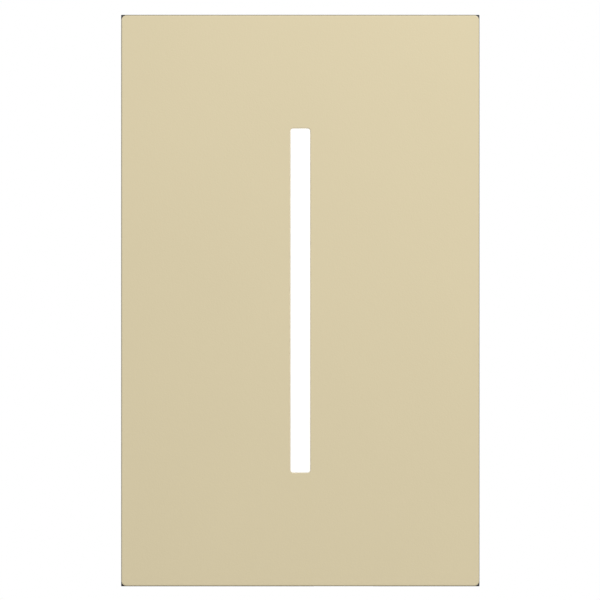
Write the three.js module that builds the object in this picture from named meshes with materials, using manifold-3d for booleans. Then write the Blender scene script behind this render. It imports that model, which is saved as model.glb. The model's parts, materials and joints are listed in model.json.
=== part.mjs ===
// A wall-box dimmer with a touch light bar: one gang wide, with a screwless slotted wallplate.
//
// Frame: millimetres, +X to the right, +Y into the wall, +Z up. The wall surface is the plane y = 0 and the
// origin is the middle of the wallplate on it, so what shows in the room has a negative y and what sits in
// the wall box has a positive one.
//
// From the room inwards: wallplate, adapter frame, control bezel with the light bar, aluminium yoke, light
// guide and control board, power board and its components, rear housing. A service switch at the lower edge
// opens an air gap in the supply.

import * as THREE from "three";
import { mergeVertices } from "three/addons/utils/BufferGeometryUtils.js";
import Module from "manifold-3d";

const wasm = await Module();
wasm.setup();

// ---------------------------------------------------------------- driving dimensions, in millimetres

// The visible plate: its outline, the slot for the light bar, and the levels of its face and rear edge.
const PLATE = {
  width: 74.68,
  height: 119.13,
  corner: 1,
  front: -7.6,
  face: 2,
  rim: 1.6,
  back: -3.6,
  edge: 0.25,
};
const SLOT = { width: 4.26, height: 72.04, corner: 0.6 };
const POST = { radius: 1.5, x: 29, z: 52, length: 2.8 };

// The dark frame behind the plate. Its flange stands a hair proud of the plate all round.
const FLANGE = { width: 74.88, height: 119.42, corner: 0.15, front: -3.5 };
const ADAPTER = { width: 71.2, height: 115.6, front: -5.3, web: 1.4, inner_width: 68.4, inner_height: 112.8 };

// Standard spacings of the two pairs of 6-32 screws on a single-gang device.
const BOX_SCREW_Z = 41.67;
const PLATE_SCREW_Z = 48.41;
const SCREW_6_32 = 1.65;

// The control behind the slot.
const BEZEL = { width: 44.4, height: 75.8, front: -5.3, wall: 1.4, back: -1.6 };
const LENS = { width: 4.16, height: 71.94, front: -7.35, flange_width: 7, flange_height: 72.6 };
const SENSOR = { width: 12, height: 72.8, front: -3.85, thickness: 0.3 };
const HOOK = { x: 18.5, z: 20 };

// The aluminium yoke that holds everything and takes the heat.
const YOKE = { width: 66, height: 106, thickness: 1.5, corner: 4, fin_x: 23.6 };

// The rear housing, inside the wall box.
const HOUSING = { width: 44.4, height: 72, front: 0.1, back: 29.7, wall: 1.8, corner: 3 };
const HOUSING_SCREW = { x: 17.4, z: 31.2, radius: 1.45, boss: 3.2 };
const POCKET = { front: 9, floor: 16.5, half: 6, wall: 1.6 };
const TERMINALS = [
  { name: "line", side: 1, z: 12 },
  { name: "load", side: 1, z: -12 },
  { name: "companion", side: -1, z: 0 },
];

// Boards, their joining pins and the light source.
const CONTROL_BOARD = { width: 11, height: 68, front: 6, thickness: 1 };
const POWER_BOARD = { width: 40.2, height: 67.6, front: 24.2, thickness: 1.6 };
const LED = { count: 7, pitch: 10 };
const TRIAC = { x: 11.6, hole_z: 22.6 };
const HEADER = { pins: [-3.81, -1.27, 1.27, 3.81], z: 32.2, pin: 0.32 };

// The air-gap service switch: a slider pulled down by SERVICE.travel turns the contact lever about its pin.
const SERVICE = { x: 9, travel: 3.2, front: -3.3, back: -1.7 };
const LEVER = { y: 15, z: -29.4, arm: 8, pin: 0.75 };
const LEVER_REST = Math.asin(SERVICE.travel / 2 / LEVER.arm);

const FAR = 200; // longer than the whole part, for cuts that run out of it
const QUARTER_TURN = Math.PI / 2;

// ---------------------------------------------------------------- materials

const material = (color, roughness, metalness = 0) =>
  new THREE.MeshStandardMaterial({ color, roughness, metalness });
const BEIGE = material(0xd9cba8, 0.55);
const BLACK = material(0x1d1d1f, 0.6);
const OPAL = material(0xf6f6f2, 0.35);
const CLEAR = material(0xe8eef0, 0.1);
const WHITE = material(0xececea, 0.6);
const ALUMINIUM = material(0xb9bcc0, 0.42, 1);
const STEEL = material(0xa9abae, 0.35, 1);
const BRASS = material(0xc59a45, 0.35, 1);
const GREEN_METAL = material(0x2f7a45, 0.4, 0.6);
const SOLDER_MASK = material(0x1f5a3a, 0.5);
const COPPER = material(0xb4642f, 0.35, 1);
const FERRITE = material(0xc9b23c, 0.7);
const AMBER_FILM = material(0xd08a2a, 0.5);
const SLEEVE = material(0x20242c, 0.4);
const BLUE = material(0x2c5fa8, 0.5);
const CARD = material(0x9c6b42, 0.9);
const PAPER = material(0xdadbdc, 0.5);
const PAD = material(0x8b9096, 0.8);

// ---------------------------------------------------------------- shape helpers

const X = new THREE.Vector3(1, 0, 0);
const Y = new THREE.Vector3(0, 1, 0);
const Z = new THREE.Vector3(0, 0, 1);
// How an outline's two axes and its extrusion map to the part's axes.
const AXES = {
  x: { outline: [Y, Z], run: X },
  y: { outline: [X, Z], run: Y.clone().negate() },
  z: { outline: [X, Y], run: Z },
};

// A closed geometry as a manifold solid.
function solidOf(geometry) {
  const faces = geometry.index ? geometry.toNonIndexed() : geometry;
  const bare = new THREE.BufferGeometry();
  bare.setAttribute("position", faces.getAttribute("position"));
  const merged = mergeVertices(bare, 1e-4);
  const mesh = new wasm.Mesh({
    numProp: 3,
    vertProperties: merged.attributes.position.array,
    triVerts: new Uint32Array(merged.index.array),
  });
  return new wasm.Manifold(mesh);
}

function geometryOf(solid) {
  const mesh = solid.getMesh();
  const geometry = new THREE.BufferGeometry();
  geometry.setAttribute("position", new THREE.BufferAttribute(Float32Array.from(mesh.vertProperties), 3));
  geometry.setIndex(new THREE.BufferAttribute(Uint32Array.from(mesh.triVerts), 1));
  geometry.computeVertexNormals();
  return geometry;
}

// A named mesh of a solid, with its own place and turn.
function part(name, solid, finish, position = [0, 0, 0], rotation = [0, 0, 0]) {
  const mesh = new THREE.Mesh(geometryOf(solid), finish);
  mesh.name = name;
  mesh.position.set(...position);
  mesh.rotation.set(...rotation);
  return mesh;
}

function group(...children) {
  const made = new THREE.Group();
  made.add(...children.flat(2));
  return made;
}

// The outline given in the two axes across `axis`, extruded from `from` to `to` along it. A bevel rounds the
// edges of both ends, and of holes, inwards.
function extrude(outline, axis, from, to, { holes = [], bevel = 0, steps = 2 } = {}) {
  const shape = new THREE.Shape(outline);
  shape.holes.push(...holes.map((hole) => new THREE.Path(hole)));
  const geometry = new THREE.ExtrudeGeometry(shape, {
    depth: to - from - 2 * bevel,
    bevelEnabled: bevel > 0,
    bevelSize: bevel,
    bevelOffset: -bevel,
    bevelThickness: bevel,
    bevelSegments: steps,
  });
  const { outline: across, run } = AXES[axis];
  geometry.applyMatrix4(new THREE.Matrix4().makeBasis(...across, run));
  const start = axis === "y" ? to - bevel : from + bevel;
  geometry.translate(...Object.values(run.clone().multiply(run).multiplyScalar(start)));
  return solidOf(geometry);
}

// A box between two limits on each axis, given in either order.
function block(...limits) {
  const geometry = new THREE.BoxGeometry(...limits.map(([a, b]) => Math.abs(b - a)));
  geometry.translate(...limits.map(([a, b]) => (a + b) / 2));
  return solidOf(geometry);
}

// Points along an arc, its angles in degrees.
function arc(x, z, radius, from, to, steps) {
  return Array.from({ length: steps + 1 }, (_, i) => {
    const angle = ((from + ((to - from) * i) / steps) * Math.PI) / 180;
    return new THREE.Vector2(x + radius * Math.cos(angle), z + radius * Math.sin(angle));
  });
}

function polygon(...points) {
  return points.map(([a, b]) => new THREE.Vector2(a, b));
}

function circle(radius, x = 0, z = 0, sides = 16) {
  return arc(x, z, radius, 0, 360, sides).slice(0, -1);
}

function roundedRect(width, height, radius, x = 0, z = 0, steps = 3) {
  const [w, h] = [width / 2 - radius, height / 2 - radius];
  return [
    ...arc(x + w, z + h, radius, 0, 90, steps),
    ...arc(x - w, z + h, radius, 90, 180, steps),
    ...arc(x - w, z - h, radius, 180, 270, steps),
    ...arc(x + w, z - h, radius, 270, 360, steps),
  ];
}

function rod(radius, axis, from, to, [a, b] = [0, 0], sides = 16) {
  return extrude(circle(radius, a, b, sides), axis, Math.min(from, to), Math.max(from, to));
}

// A solid turned about the Y axis from a profile of [radius, y], starting and ending on the axis.
function turned(profile, sides = 16) {
  return solidOf(new THREE.LatheGeometry(polygon(...profile), sides));
}

function union(...solids) {
  return solids.flat().reduce((sum, solid) => sum.add(solid));
}

// ---------------------------------------------------------------- fasteners, which point along +Y

// A cross-slotted pan-head screw: its head lies before y = 0 and its shank runs to y = length.
function panScrew({ head, height, shank, length, slot }) {
  const screw = turned([
    [0, -height],
    [head * 0.45, -height],
    [head * 0.8, -height * 0.85],
    [head, -height * 0.45],
    [head, 0],
    [shank, 0],
    [shank, length - shank * 0.7],
    [shank * 0.6, length],
    [0, length],
  ]);
  const across = [-slot / 2, slot / 2];
  const along = [-head * 0.62, head * 0.62];
  const deep = [-height * 0.5, -height - 1];
  return screw.subtract(block(across, deep, along)).subtract(block(along, deep, across));
}

// A slotted flat-head screw whose head's top is at y = 0.
function flatScrew({ head, height, shank, length, slot }) {
  const screw = turned([
    [0, 0],
    [head, 0],
    [head, 0.35],
    [shank, height],
    [shank, length - shank * 0.7],
    [shank * 0.6, length],
    [0, length],
  ]);
  return screw.subtract(block([-slot / 2, slot / 2], [-1, 0.9], [-head - 1, head + 1]));
}

// A slotted hexagon-head screw with a washer face.
function groundScrew() {
  const screw = turned([
    [0, -2.2],
    [2.2, -2.2],
    [2.6, -1.9],
    [2.6, -0.6],
    [3.6, -0.6],
    [3.6, 0],
    [SCREW_6_32, 0],
    [SCREW_6_32, 5.6],
    [1, 6.2],
    [0, 6.2],
  ], 12);
  return screw.subtract(block([-0.5, 0.5], [-3, -1.2], [-4, 4]));
}

// ---------------------------------------------------------------- wallplate and adapter frame

const POST_SITES = [-1, 0, 1].flatMap((row) => [-1, 1].map((side) => [side * POST.x, row * POST.z]));

function wallplate() {
  const outline = roundedRect(PLATE.width, PLATE.height, PLATE.corner);
  const slot = roundedRect(SLOT.width, SLOT.height, SLOT.corner);
  const inner_face = PLATE.front + PLATE.face;
  const face = extrude(outline, "y", PLATE.front, inner_face, { holes: [slot], bevel: PLATE.edge });
  const straight = extrude(outline, "y", PLATE.front + PLATE.face / 2, PLATE.back, { holes: [slot] });
  const cavity = roundedRect(PLATE.width - 2 * PLATE.rim, PLATE.height - 2 * PLATE.rim, 0.4);
  const shell = face.add(straight).subtract(extrude(cavity, "y", inner_face, FAR));
  const post = (site) => rod(POST.radius, "y", inner_face - 0.5, inner_face + POST.length, site, 12);
  return union(shell, POST_SITES.map(post));
}

function adapterFrame() {
  const web_back = ADAPTER.front + ADAPTER.web;
  const flange = extrude(roundedRect(FLANGE.width, FLANGE.height, FLANGE.corner), "y", FLANGE.front, 0);
  const upper = extrude(roundedRect(ADAPTER.width, ADAPTER.height, 0.5), "y", ADAPTER.front, -1);
  const inside = roundedRect(ADAPTER.inner_width, ADAPTER.inner_height, 1);
  const opening = roundedRect(BEZEL.width + 0.6, BEZEL.height + 0.6, 1.6);
  const countersink = turned([[0, -1], [3.5, -1], [3.5, 0.6], [1.9, 2.15], [0, 2.15]]);
  let frame = flange.add(upper).subtract(extrude(inside, "y", web_back, FAR));
  frame = frame.subtract(extrude(opening, "y", -FAR, FAR));
  for (const site of POST_SITES) {
    frame = frame.add(rod(2.8, "y", web_back - 0.5, web_back + 1.3, site));
    frame = frame.subtract(rod(POST.radius + 0.15, "y", -FAR, FAR, site));
  }
  for (const side of [-1, 1]) {
    const z = side * PLATE_SCREW_Z;
    frame = frame.add(rod(3.2, "y", web_back - 0.5, -YOKE.thickness - 0.1, [0, z]));
    frame = frame.subtract(rod(2, "y", -FAR, FAR, [0, z]));
    frame = frame.subtract(countersink.translate([0, ADAPTER.front, z]));
    // Ribs stiffen the long sides of the web between the sockets.
    for (const rib of [-26, 26]) {
      const across = [side * 25, side * 34.5];
      frame = frame.add(block(across, [web_back - 0.5, web_back + 1.1], [rib - 0.6, rib + 0.6]));
    }
  }
  // The service tab's way out through the lower edge.
  const inner_edge = 1 - ADAPTER.inner_height / 2;
  return frame.subtract(block([SERVICE.x - 6.2, SERVICE.x + 6.2], [FLANGE.front, -1.5], [-FAR, inner_edge]));
}

function plateGroup() {
  const screw = { head: 3.3, height: 1.9, shank: SCREW_6_32, length: 8, slot: 0.9 };
  return group(
    part("wallplate", wallplate(), BEIGE),
    part("adapter_frame", adapterFrame(), BLACK),
    part("adapter_screw_upper", flatScrew(screw), STEEL, [0, ADAPTER.front + 0.1, PLATE_SCREW_Z]),
    part("adapter_screw_lower", flatScrew(screw), STEEL, [0, ADAPTER.front + 0.1, -PLATE_SCREW_Z]),
  );
}

// ---------------------------------------------------------------- control bezel, light bar and its light

function controlBezel() {
  const { width, height, front, wall, back } = BEZEL;
  const slot = roundedRect(LENS.width + 0.3, LENS.height + 0.2, 0.7);
  let bezel = extrude(roundedRect(width, height, 1.5), "y", front, front + 2, { bevel: 0.3, holes: [slot] });
  bezel = bezel.add(extrude(roundedRect(width, height, 1.5), "y", front + 1, back, { holes: [slot] }));
  const cavity = roundedRect(width - 2 * wall, height - 2 * wall, 1);
  bezel = bezel.subtract(extrude(cavity, "y", front + wall, FAR));
  for (const side of [-1, 1]) {
    // Barbed legs go through the yoke's windows.
    for (const z of [-HOOK.z, HOOK.z]) {
      bezel = bezel.add(block([side * 17.9, side * 19.1], [front + wall - 0.5, 1.2], [z - 2, z + 2]));
      bezel = bezel.add(block([side * 18.5, side * 19.7], [0.3, 1.2], [z - 2, z + 2]));
    }
    // Ribs keep the sensor film flat against the face.
    bezel = bezel.add(block([side * 6.4, side * 7.2], [front + wall - 0.5, -2.2], [-24, 16]));
  }
  return bezel.subtract(block([SERVICE.x - 3.2, SERVICE.x + 3.2], [-3.5, 0], [-FAR, -height / 2 + wall + 1]));
}

function lightBarLens() {
  const nose = extrude(roundedRect(LENS.width, LENS.height, 0.55), "y", LENS.front, -3.3, { bevel: 0.2 });
  const flange = extrude(roundedRect(LENS.flange_width, LENS.flange_height, 0.5), "y", -3.5, -2.6);
  return nose.add(flange);
}

function touchSensor() {
  const back = SENSOR.front + SENSOR.thickness;
  const slot = roundedRect(LENS.width + 0.35, LENS.height + 0.2, 0.7);
  const outline = roundedRect(SENSOR.width, SENSOR.height, 1);
  const pad = extrude(outline, "y", SENSOR.front, back, { holes: [slot] });
  const tail = block([-6.3, -5.9], [SENSOR.front, 8], [18, 24]);
  const tongue = block([-6.3, -3.2], [7.7, 8], [18, 24]);
  return union(pad, tail, tongue);
}

// A clear blade as tall as the bar in front, shorter where it passes through the yoke.
function lightGuide() {
  const upper = [[-2.5, 35.6], [-1.9, 35.6], [-1.6, 33.4], [4.9, 32.8]];
  const lower = upper.map(([y, z]) => [y, -z]);
  return extrude(polygon(...lower, ...upper.reverse()), "x", -2, 2);
}

function headerHoles() {
  return HEADER.pins.map((x) => roundedRect(1.3, 1.3, 0.2, x, HEADER.z, 1));
}

// A white trough: its rim presses into the yoke's slot and four clips hold the control board.
function ledReflector() {
  const inner = roundedRect(4.6, 67, 0.2, 0, 0, 1);
  const trough = extrude(roundedRect(9.2, 68, 1), "y", 0.1, 5.9, { holes: [inner] });
  const rim = extrude(roundedRect(8.1, 67.9, 0.9), "y", -1.3, 0.5, { holes: [inner] });
  const clips = [-1, 1].flatMap((side) =>
    [-12, 12].flatMap((z) => [
      block([side * 4.4, side * 6.3], [3.9, 5.9], [z - 1.5, z + 1.5]),
      block([side * 5.7, side * 6.3], [3.9, 7.7], [z - 1.5, z + 1.5]),
      block([side * 5.3, side * 6.3], [7.1, 7.7], [z - 1.5, z + 1.5]),
    ]),
  );
  return union(trough, rim, clips);
}

function controlBoard() {
  const { width, height, front, thickness } = CONTROL_BOARD;
  return extrude(roundedRect(width, height, 0.8), "y", front, front + thickness, { holes: headerHoles() });
}

function led() {
  const body = extrude(roundedRect(2.8, 3.5, 0.3), "y", -0.6, 0);
  const dome = extrude(circle(1.15, 0, 0, 12), "y", -0.75, -0.5);
  return body.add(dome);
}

function microcontroller() {
  const body = extrude(roundedRect(7, 7, 0.4), "y", 0.15, 1.1, { bevel: 0.15, steps: 1 });
  const side_leads = block([-3.9, 3.9], [0, 0.3], [-2.9, 2.9]);
  const end_leads = block([-2.9, 2.9], [0, 0.3], [-3.9, 3.9]);
  return union(body, side_leads, end_leads);
}

// A flat-cable socket, open towards the sensor film's tongue.
function sensorConnector(board_back) {
  const body = block([-3.9, 2], [board_back + 0.05, 9], [17, 25]);
  return body.subtract(block([-4.2, -2.9], [7.55, 8.15], [17.8, 24.2]));
}

function controlGroup() {
  const board_back = CONTROL_BOARD.front + CONTROL_BOARD.thickness;
  const led_y = CONTROL_BOARD.front - 0.05;
  const leds = Array.from({ length: LED.count }, (_, i) =>
    part(`bar_led_${i + 1}`, led(), WHITE, [0, led_y, (i - (LED.count - 1) / 2) * LED.pitch]),
  );
  return group(
    part("control_bezel", controlBezel(), BLACK),
    part("light_bar_lens", lightBarLens(), OPAL),
    part("touch_sensor_film", touchSensor(), COPPER),
    part("light_guide", lightGuide(), CLEAR),
    part("led_reflector", ledReflector(), WHITE),
    part("control_board", controlBoard(), SOLDER_MASK),
    leds,
    part("microcontroller", microcontroller(), SLEEVE, [0, board_back + 0.05, 7.5]),
    part("sensor_connector", sensorConnector(board_back), WHITE),
  );
}

// ---------------------------------------------------------------- yoke and what bolts to it

function yoke() {
  const { width, height, thickness, corner } = YOKE;
  // Four cut corners: a rectangle whose corner arcs have one step.
  const outline = roundedRect(width, height, corner, 0, 0, 1);
  const light_slot = roundedRect(8.4, 68.2, 1);
  const service_arm_slot = roundedRect(5, 8.4, 0.6, SERVICE.x, -29.4);
  const sensor_slit = roundedRect(1.2, 7, 0.3, -6.1, 21);
  const holes = [light_slot, service_arm_slot, sensor_slit, circle(1.6, TRIAC.x, TRIAC.hole_z)];
  for (const side of [-1, 1]) {
    holes.push(roundedRect(6.6, 3.9, 1.94, 0, side * BOX_SCREW_Z, 5));
    holes.push(circle(1.8, 0, side * PLATE_SCREW_Z));
    for (const row of [-1, 1]) {
      holes.push(circle(1.6, side * HOUSING_SCREW.x, row * HOUSING_SCREW.z));
      holes.push(roundedRect(2.6, 4.8, 0.3, side * 18.8, row * HOOK.z));
    }
  }
  let plate = extrude(outline, "y", -thickness, 0, { holes });
  // Scored lines let the side fins be broken off where devices share a box.
  for (const x of [-YOKE.fin_x, YOKE.fin_x]) {
    const mouth = -thickness - 0.01;
    const groove = polygon([x - 0.5, mouth], [x + 0.5, mouth], [x, -thickness + 0.55]);
    plate = plate.subtract(extrude(groove, "z", -FAR, FAR));
  }
  const ground_tab = block([-19.5, -18], [-0.7, 9], [-46, -38]).subtract(rod(1.8, "x", -FAR, FAR, [5, -42]));
  return plate.add(ground_tab);
}

// A card washer that keeps a box screw from dropping out.
function retainer() {
  return extrude(roundedRect(9, 8.4, 1), "y", 0.15, 0.65, { holes: [circle(1.85)] });
}

function yokeGroup() {
  const box_screw = { head: 3.3, height: 1.95, shank: SCREW_6_32, length: 19, slot: 0.9 };
  const sites = [["upper", BOX_SCREW_Z], ["lower", -BOX_SCREW_Z]];
  const head_y = -YOKE.thickness - 0.05;
  return group(
    part("yoke", yoke(), ALUMINIUM),
    sites.map(([at, z]) => part(`box_screw_${at}`, panScrew(box_screw), STEEL, [0, head_y, z])),
    sites.map(([at, z]) => part(`screw_retainer_${at}`, retainer(), CARD, [0, 0, z])),
    part("ground_screw", groundScrew(), GREEN_METAL, [-19.6, 5, -42], [0, 0, -QUARTER_TURN]),
  );
}

// ---------------------------------------------------------------- rear housing

const HOUSING_SCREW_SITES = polygon([1, 1], [-1, 1], [-1, -1], [1, -1]).map((corner) => [
  corner.x * HOUSING_SCREW.x,
  corner.y * HOUSING_SCREW.z,
]);

function rearHousing() {
  const { width, height, front, back, wall, corner } = HOUSING;
  const outline = roundedRect(width, height, corner, 0, 0, 4);
  const rounded_back = extrude(outline, "y", back - 4, back, { bevel: 0.8 });
  const outer = rounded_back.add(extrude(outline, "y", front, back - 2));
  const inner = roundedRect(width - 2 * wall, height - 2 * wall, 1.2);
  let shell = outer.subtract(extrude(inner, "y", -FAR, back - wall));
  for (const { side, z } of TERMINALS) {
    const reach = POCKET.half + POCKET.wall;
    const across = [side * (POCKET.floor - POCKET.wall), side * FAR];
    const jacket = block(across, [POCKET.front - POCKET.wall, FAR], [z - reach, z + reach]);
    shell = shell.add(jacket.intersect(outer));
  }
  for (const { side, z } of TERMINALS) {
    const span = [z - POCKET.half, z + POCKET.half];
    shell = shell.subtract(block([side * POCKET.floor, side * FAR], [POCKET.front, FAR], span));
    // The screw's clearance hole, and the slit that the terminal's tongue comes in by.
    shell = shell.subtract(rod(2.1, "x", side * 10, side * 20, [14, z]));
    shell = shell.subtract(block([side * 14, side * 20], [18.75, 20.75], [z - 2.7, z + 2.7]));
  }
  for (const site of HOUSING_SCREW_SITES) {
    shell = shell.add(rod(HOUSING_SCREW.boss, "y", front, back - 1, site));
    shell = shell.subtract(rod(1.7, "y", -FAR, FAR, site));
    shell = shell.subtract(rod(3, "y", back - 2.2, FAR, site));
  }
  const label_seat = extrude(roundedRect(26, 40, 1), "y", back - 0.4, FAR);
  const strip_gauge = block([-14, -4], [back - 0.5, FAR], [-33.2, -32.2]);
  const gauge_stop = block([-14.5, -14], [back - 0.5, FAR], [-33.7, -31.7]);
  return shell.subtract(union(label_seat, strip_gauge, gauge_stop));
}

function housingGroup() {
  const screw = { head: 2.6, height: 1.9, shank: HOUSING_SCREW.radius, length: 28.4, slot: 0.8 };
  const label = extrude(roundedRect(25.2, 39.2, 0.8), "y", HOUSING.back - 0.35, HOUSING.back - 0.15);
  return group(
    part("rear_housing", rearHousing(), BLACK),
    HOUSING_SCREW_SITES.map(([x, z], i) =>
      part(`housing_screw_${i + 1}`, panScrew(screw), STEEL, [x, HOUSING.back - 2.15, z], [Math.PI, 0, 0]),
    ),
    part("rating_label", label, PAPER),
  );
}

// ---------------------------------------------------------------- screw terminals

function terminalPlate(side, z) {
  const floor = POCKET.floor + 0.1;
  const face = block([side * floor, side * (floor + 1.2)], [9.4, 21], [z - 4.6, z + 4.6]);
  const screw_hole = rod(1.8, "x", side * 10, side * 30, [14, z]);
  const tongue = block([side * 13.2, side * (floor + 0.6)], [19, 20.5], [z - 2.4, z + 2.4]);
  const leg = block([side * 13.2, side * 14.2], [19, 24.1], [z - 2.4, z + 2.4]);
  return union(face.subtract(screw_hole), tongue, leg);
}

function terminalGroup() {
  const screw = panScrew({ head: 3.7, height: 1.9, shank: SCREW_6_32, length: 4.2, slot: 0.9 });
  return group(
    TERMINALS.map(({ name, side, z }) => [
      part(`${name}_terminal_plate`, terminalPlate(side, z), BRASS),
      part(`${name}_terminal_screw`, screw, BRASS, [side * 18.7, 14, z], [0, 0, side * QUARTER_TURN]),
    ]),
  );
}

// ---------------------------------------------------------------- power board and its components

function powerBoard() {
  const { width, height, front, thickness } = POWER_BOARD;
  const outline = roundedRect(width, height, 1);
  let board = extrude(outline, "y", front, front + thickness, { holes: headerHoles() });
  for (const site of HOUSING_SCREW_SITES) {
    board = board.subtract(rod(3.6, "y", 0, FAR, site));
  }
  for (const { side, z } of TERMINALS) {
    board = board.subtract(block([side * 14.6, side * 30], [0, FAR], [z - 7.9, z + 7.9]));
  }
  return board;
}

// A pin header joins the two boards.
function boardHeader() {
  const { z, pin } = HEADER;
  const base = block([-5.2, 5.2], [21.5, 24.1], [z - 1.25, z + 1.25]);
  const pins = HEADER.pins.map((x) => block([x - pin, x + pin], [6.05, 26.4], [z - pin, z + pin]));
  return union(base, pins);
}

// A TO-220 switch: metal tab against the yoke, epoxy body, three leads down and back to the power board.
function triac() {
  const { x, hole_z } = TRIAC;
  const tab = block([x - 5, x + 5], [0.4, 1.7], [hole_z - 5, hole_z + 3.2]);
  const tab_hole = rod(1.8, "y", -FAR, FAR, [x, hole_z]);
  const body = extrude(roundedRect(10.2, 9.2, 0.3, x, 15.2, 1), "y", 0.4, 4.9, { bevel: 0.25, steps: 1 });
  const leads = [-2.54, 0, 2.54].flatMap((offset) => {
    const across = [x + offset - 0.4, x + offset + 0.4];
    return [block(across, [2.6, 3.2], [8, 11]), block(across, [2.6, 24.1], [8, 8.5])];
  });
  return union(tab.subtract(tab_hole), body, leads);
}

const CHOKE = { x: -9.5, y: 17.6, z: -19.4, inner: 4.8, outer: 8.4, half: 3.4, turns: 13, wire: 0.45 };

function chokeCore() {
  const { inner, outer, half } = CHOKE;
  const chamfer = 1.2;
  const section = [
    [inner + chamfer, -half],
    [outer - chamfer, -half],
    [outer, -half + chamfer],
    [outer, half - chamfer],
    [outer - chamfer, half],
    [inner + chamfer, half],
    [inner, half - chamfer],
    [inner, -half + chamfer],
  ];
  return turned([...section, section[0]], 24);
}

// Copper wire wound round the core over most of its circle, with both ends led back to the board.
function chokeWinding() {
  const { inner, outer, half, turns, wire } = CHOKE;
  const [middle, reach, rise] = [(inner + outer) / 2, (outer - inner) / 2 + 0.85, half + 0.85];
  const steps = turns * 8;
  const sweep = (330 * Math.PI) / 180;
  const squareness = 2 / 3.2;
  const power = (v) => Math.sign(v) * Math.abs(v) ** squareness;
  const loop = Array.from({ length: steps + 1 }, (_, i) => {
    const phase = (2 * Math.PI * turns * i) / steps;
    const around = (sweep * i) / steps;
    const radius = middle + reach * power(Math.cos(phase));
    const height = rise * power(Math.sin(phase));
    return new THREE.Vector3(radius * Math.cos(around), height, radius * Math.sin(around));
  });
  const [first, last] = [loop[0], loop.at(-1)];
  const board_y = POWER_BOARD.front - 0.1 - CHOKE.y;
  const lead = (p) => [board_y, board_y - 1.5, 1.5].map((y) => new THREE.Vector3(p.x * 1.06, y, p.z * 1.06));
  const points = [...lead(first), ...loop.slice(1, -1), ...lead(last).reverse()];
  const path = new THREE.CatmullRomCurve3(points, false, "centripetal");
  const section = new THREE.Shape(circle(wire, 0, 0, 5));
  const options = { steps: steps + 12, extrudePath: path, bevelEnabled: false };
  return solidOf(new THREE.ExtrudeGeometry(section, options));
}

// A round can with a rolled groove near the board.
function can(radius, height) {
  const groove = height - 1.5;
  return turned([
    [0, 0],
    [radius * 0.94, 0],
    [radius, 0.5],
    [radius, groove - 0.6],
    [radius - 0.35, groove],
    [radius, groove + 0.6],
    [radius, height - 0.4],
    [radius - 0.5, height],
    [0, height],
  ]);
}

function bleedResistor() {
  const wire = [-0.35, 0.35];
  const legs = [-1, 1].flatMap((end) => [
    block(wire, wire, [end * 4, end * 6]),
    block(wire, [-0.35, 4], [end * 5.3, end * 6]),
  ]);
  return union(rod(1.8, "z", -4.6, 4.6, [0, 0], 12), legs);
}

function gateDriver() {
  const body = extrude(roundedRect(8.6, 6.4, 0.3), "y", 0.6, 3.8, { bevel: 0.2, steps: 1 });
  return body.add(block([-3.4, 3.4], [3, 4.1], [-4.1, 4.1]));
}

function varistor() {
  const disc = extrude(circle(4.6, 0, -4.6, 20), "z", -1.9, 1.9, { bevel: 0.5 });
  const legs = [-2.5, 2.5].map((x) => block([x - 0.35, x + 0.35], [-2, 1.2], [-0.35, 0.35]));
  return union(disc, legs);
}

function powerGroup() {
  const { x, hole_z } = TRIAC;
  const board = POWER_BOARD.front - 0.1;
  const holes = [circle(1.8, x, hole_z)];
  const pad = extrude(roundedRect(10.6, 16.6, 0.5, x, 18.3, 1), "y", 0.05, 0.35, { holes });
  const film = extrude(roundedRect(18, 9, 0.6), "y", 0, 13.4, { bevel: 0.4, steps: 1 });
  const screw = { head: 2.6, height: 1.8, shank: 1.45, length: 3.1, slot: 0.8 };
  return group(
    part("power_board", powerBoard(), SOLDER_MASK),
    part("board_header", boardHeader(), SLEEVE),
    part("triac", triac(), SLEEVE),
    part("triac_pad", pad, PAD),
    part("triac_screw", panScrew(screw), STEEL, [x, 1.75, hole_z], [Math.PI, 0, 0]),
    part("choke_core", chokeCore(), FERRITE, [CHOKE.x, CHOKE.y, CHOKE.z]),
    part("choke_winding", chokeWinding(), COPPER, [CHOKE.x, CHOKE.y, CHOKE.z]),
    part("film_capacitor", film, AMBER_FILM, [-4, board - 13.4, 25.2]),
    part("electrolytic_capacitor", can(4.9, 12.4), SLEEVE, [-8, board - 12.4, 11.3]),
    part("fuse", can(4.1, 8), BLACK, [7, board - 8, 0]),
    part("varistor", varistor(), BLUE, [-6, board - 1.2, 2.3]),
    part("gate_driver", gateDriver(), WHITE, [10, board - 4.1, 26.4]),
    part("bleed_resistor", bleedResistor(), CARD, [3.2, board - 4, -18]),
  );
}

// ---------------------------------------------------------------- air-gap service switch

// The knob's place at rest. It ends the stroke as far below the pivot as it starts above it.
const KNOB = {
  y: LEVER.y - LEVER.arm * Math.cos(LEVER_REST),
  z: LEVER.z + LEVER.arm * Math.sin(LEVER_REST),
  radius: 0.9,
};

// The slider: a tab at the lower edge, a stem in front of the yoke, and an arm through it whose fork holds
// the lever's knob.
function serviceTab() {
  const { x, front, back } = SERVICE;
  const end = -PLATE.height / 2 + 0.05;
  const finger = block([x - 6, x + 6], [front, back], [end, end + 4.5]);
  const nail_slot = block([x - 3, x + 3], [front + 0.45, back - 0.45], [end - 1, end + 1.6]);
  const stem = block([x - 2.5, x + 2.5], [front, back], [end + 4, KNOB.z + 1.8]);
  const arm = block([x - 1.8, x + 1.8], [back - 0.5, 5], [KNOB.z - 1.5, KNOB.z + 1.8]);
  const jaws = block([x - 1.8, x + 1.8], [4.6, KNOB.y + 1.1], [KNOB.z - 2.3, KNOB.z + 2.3]);
  const gap = KNOB.radius + 0.12;
  const fork = block([0, FAR], [KNOB.y - 1.3, FAR], [KNOB.z - gap, KNOB.z + gap]);
  return union(finger, stem, arm, jaws).subtract(nail_slot).subtract(fork);
}

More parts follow.
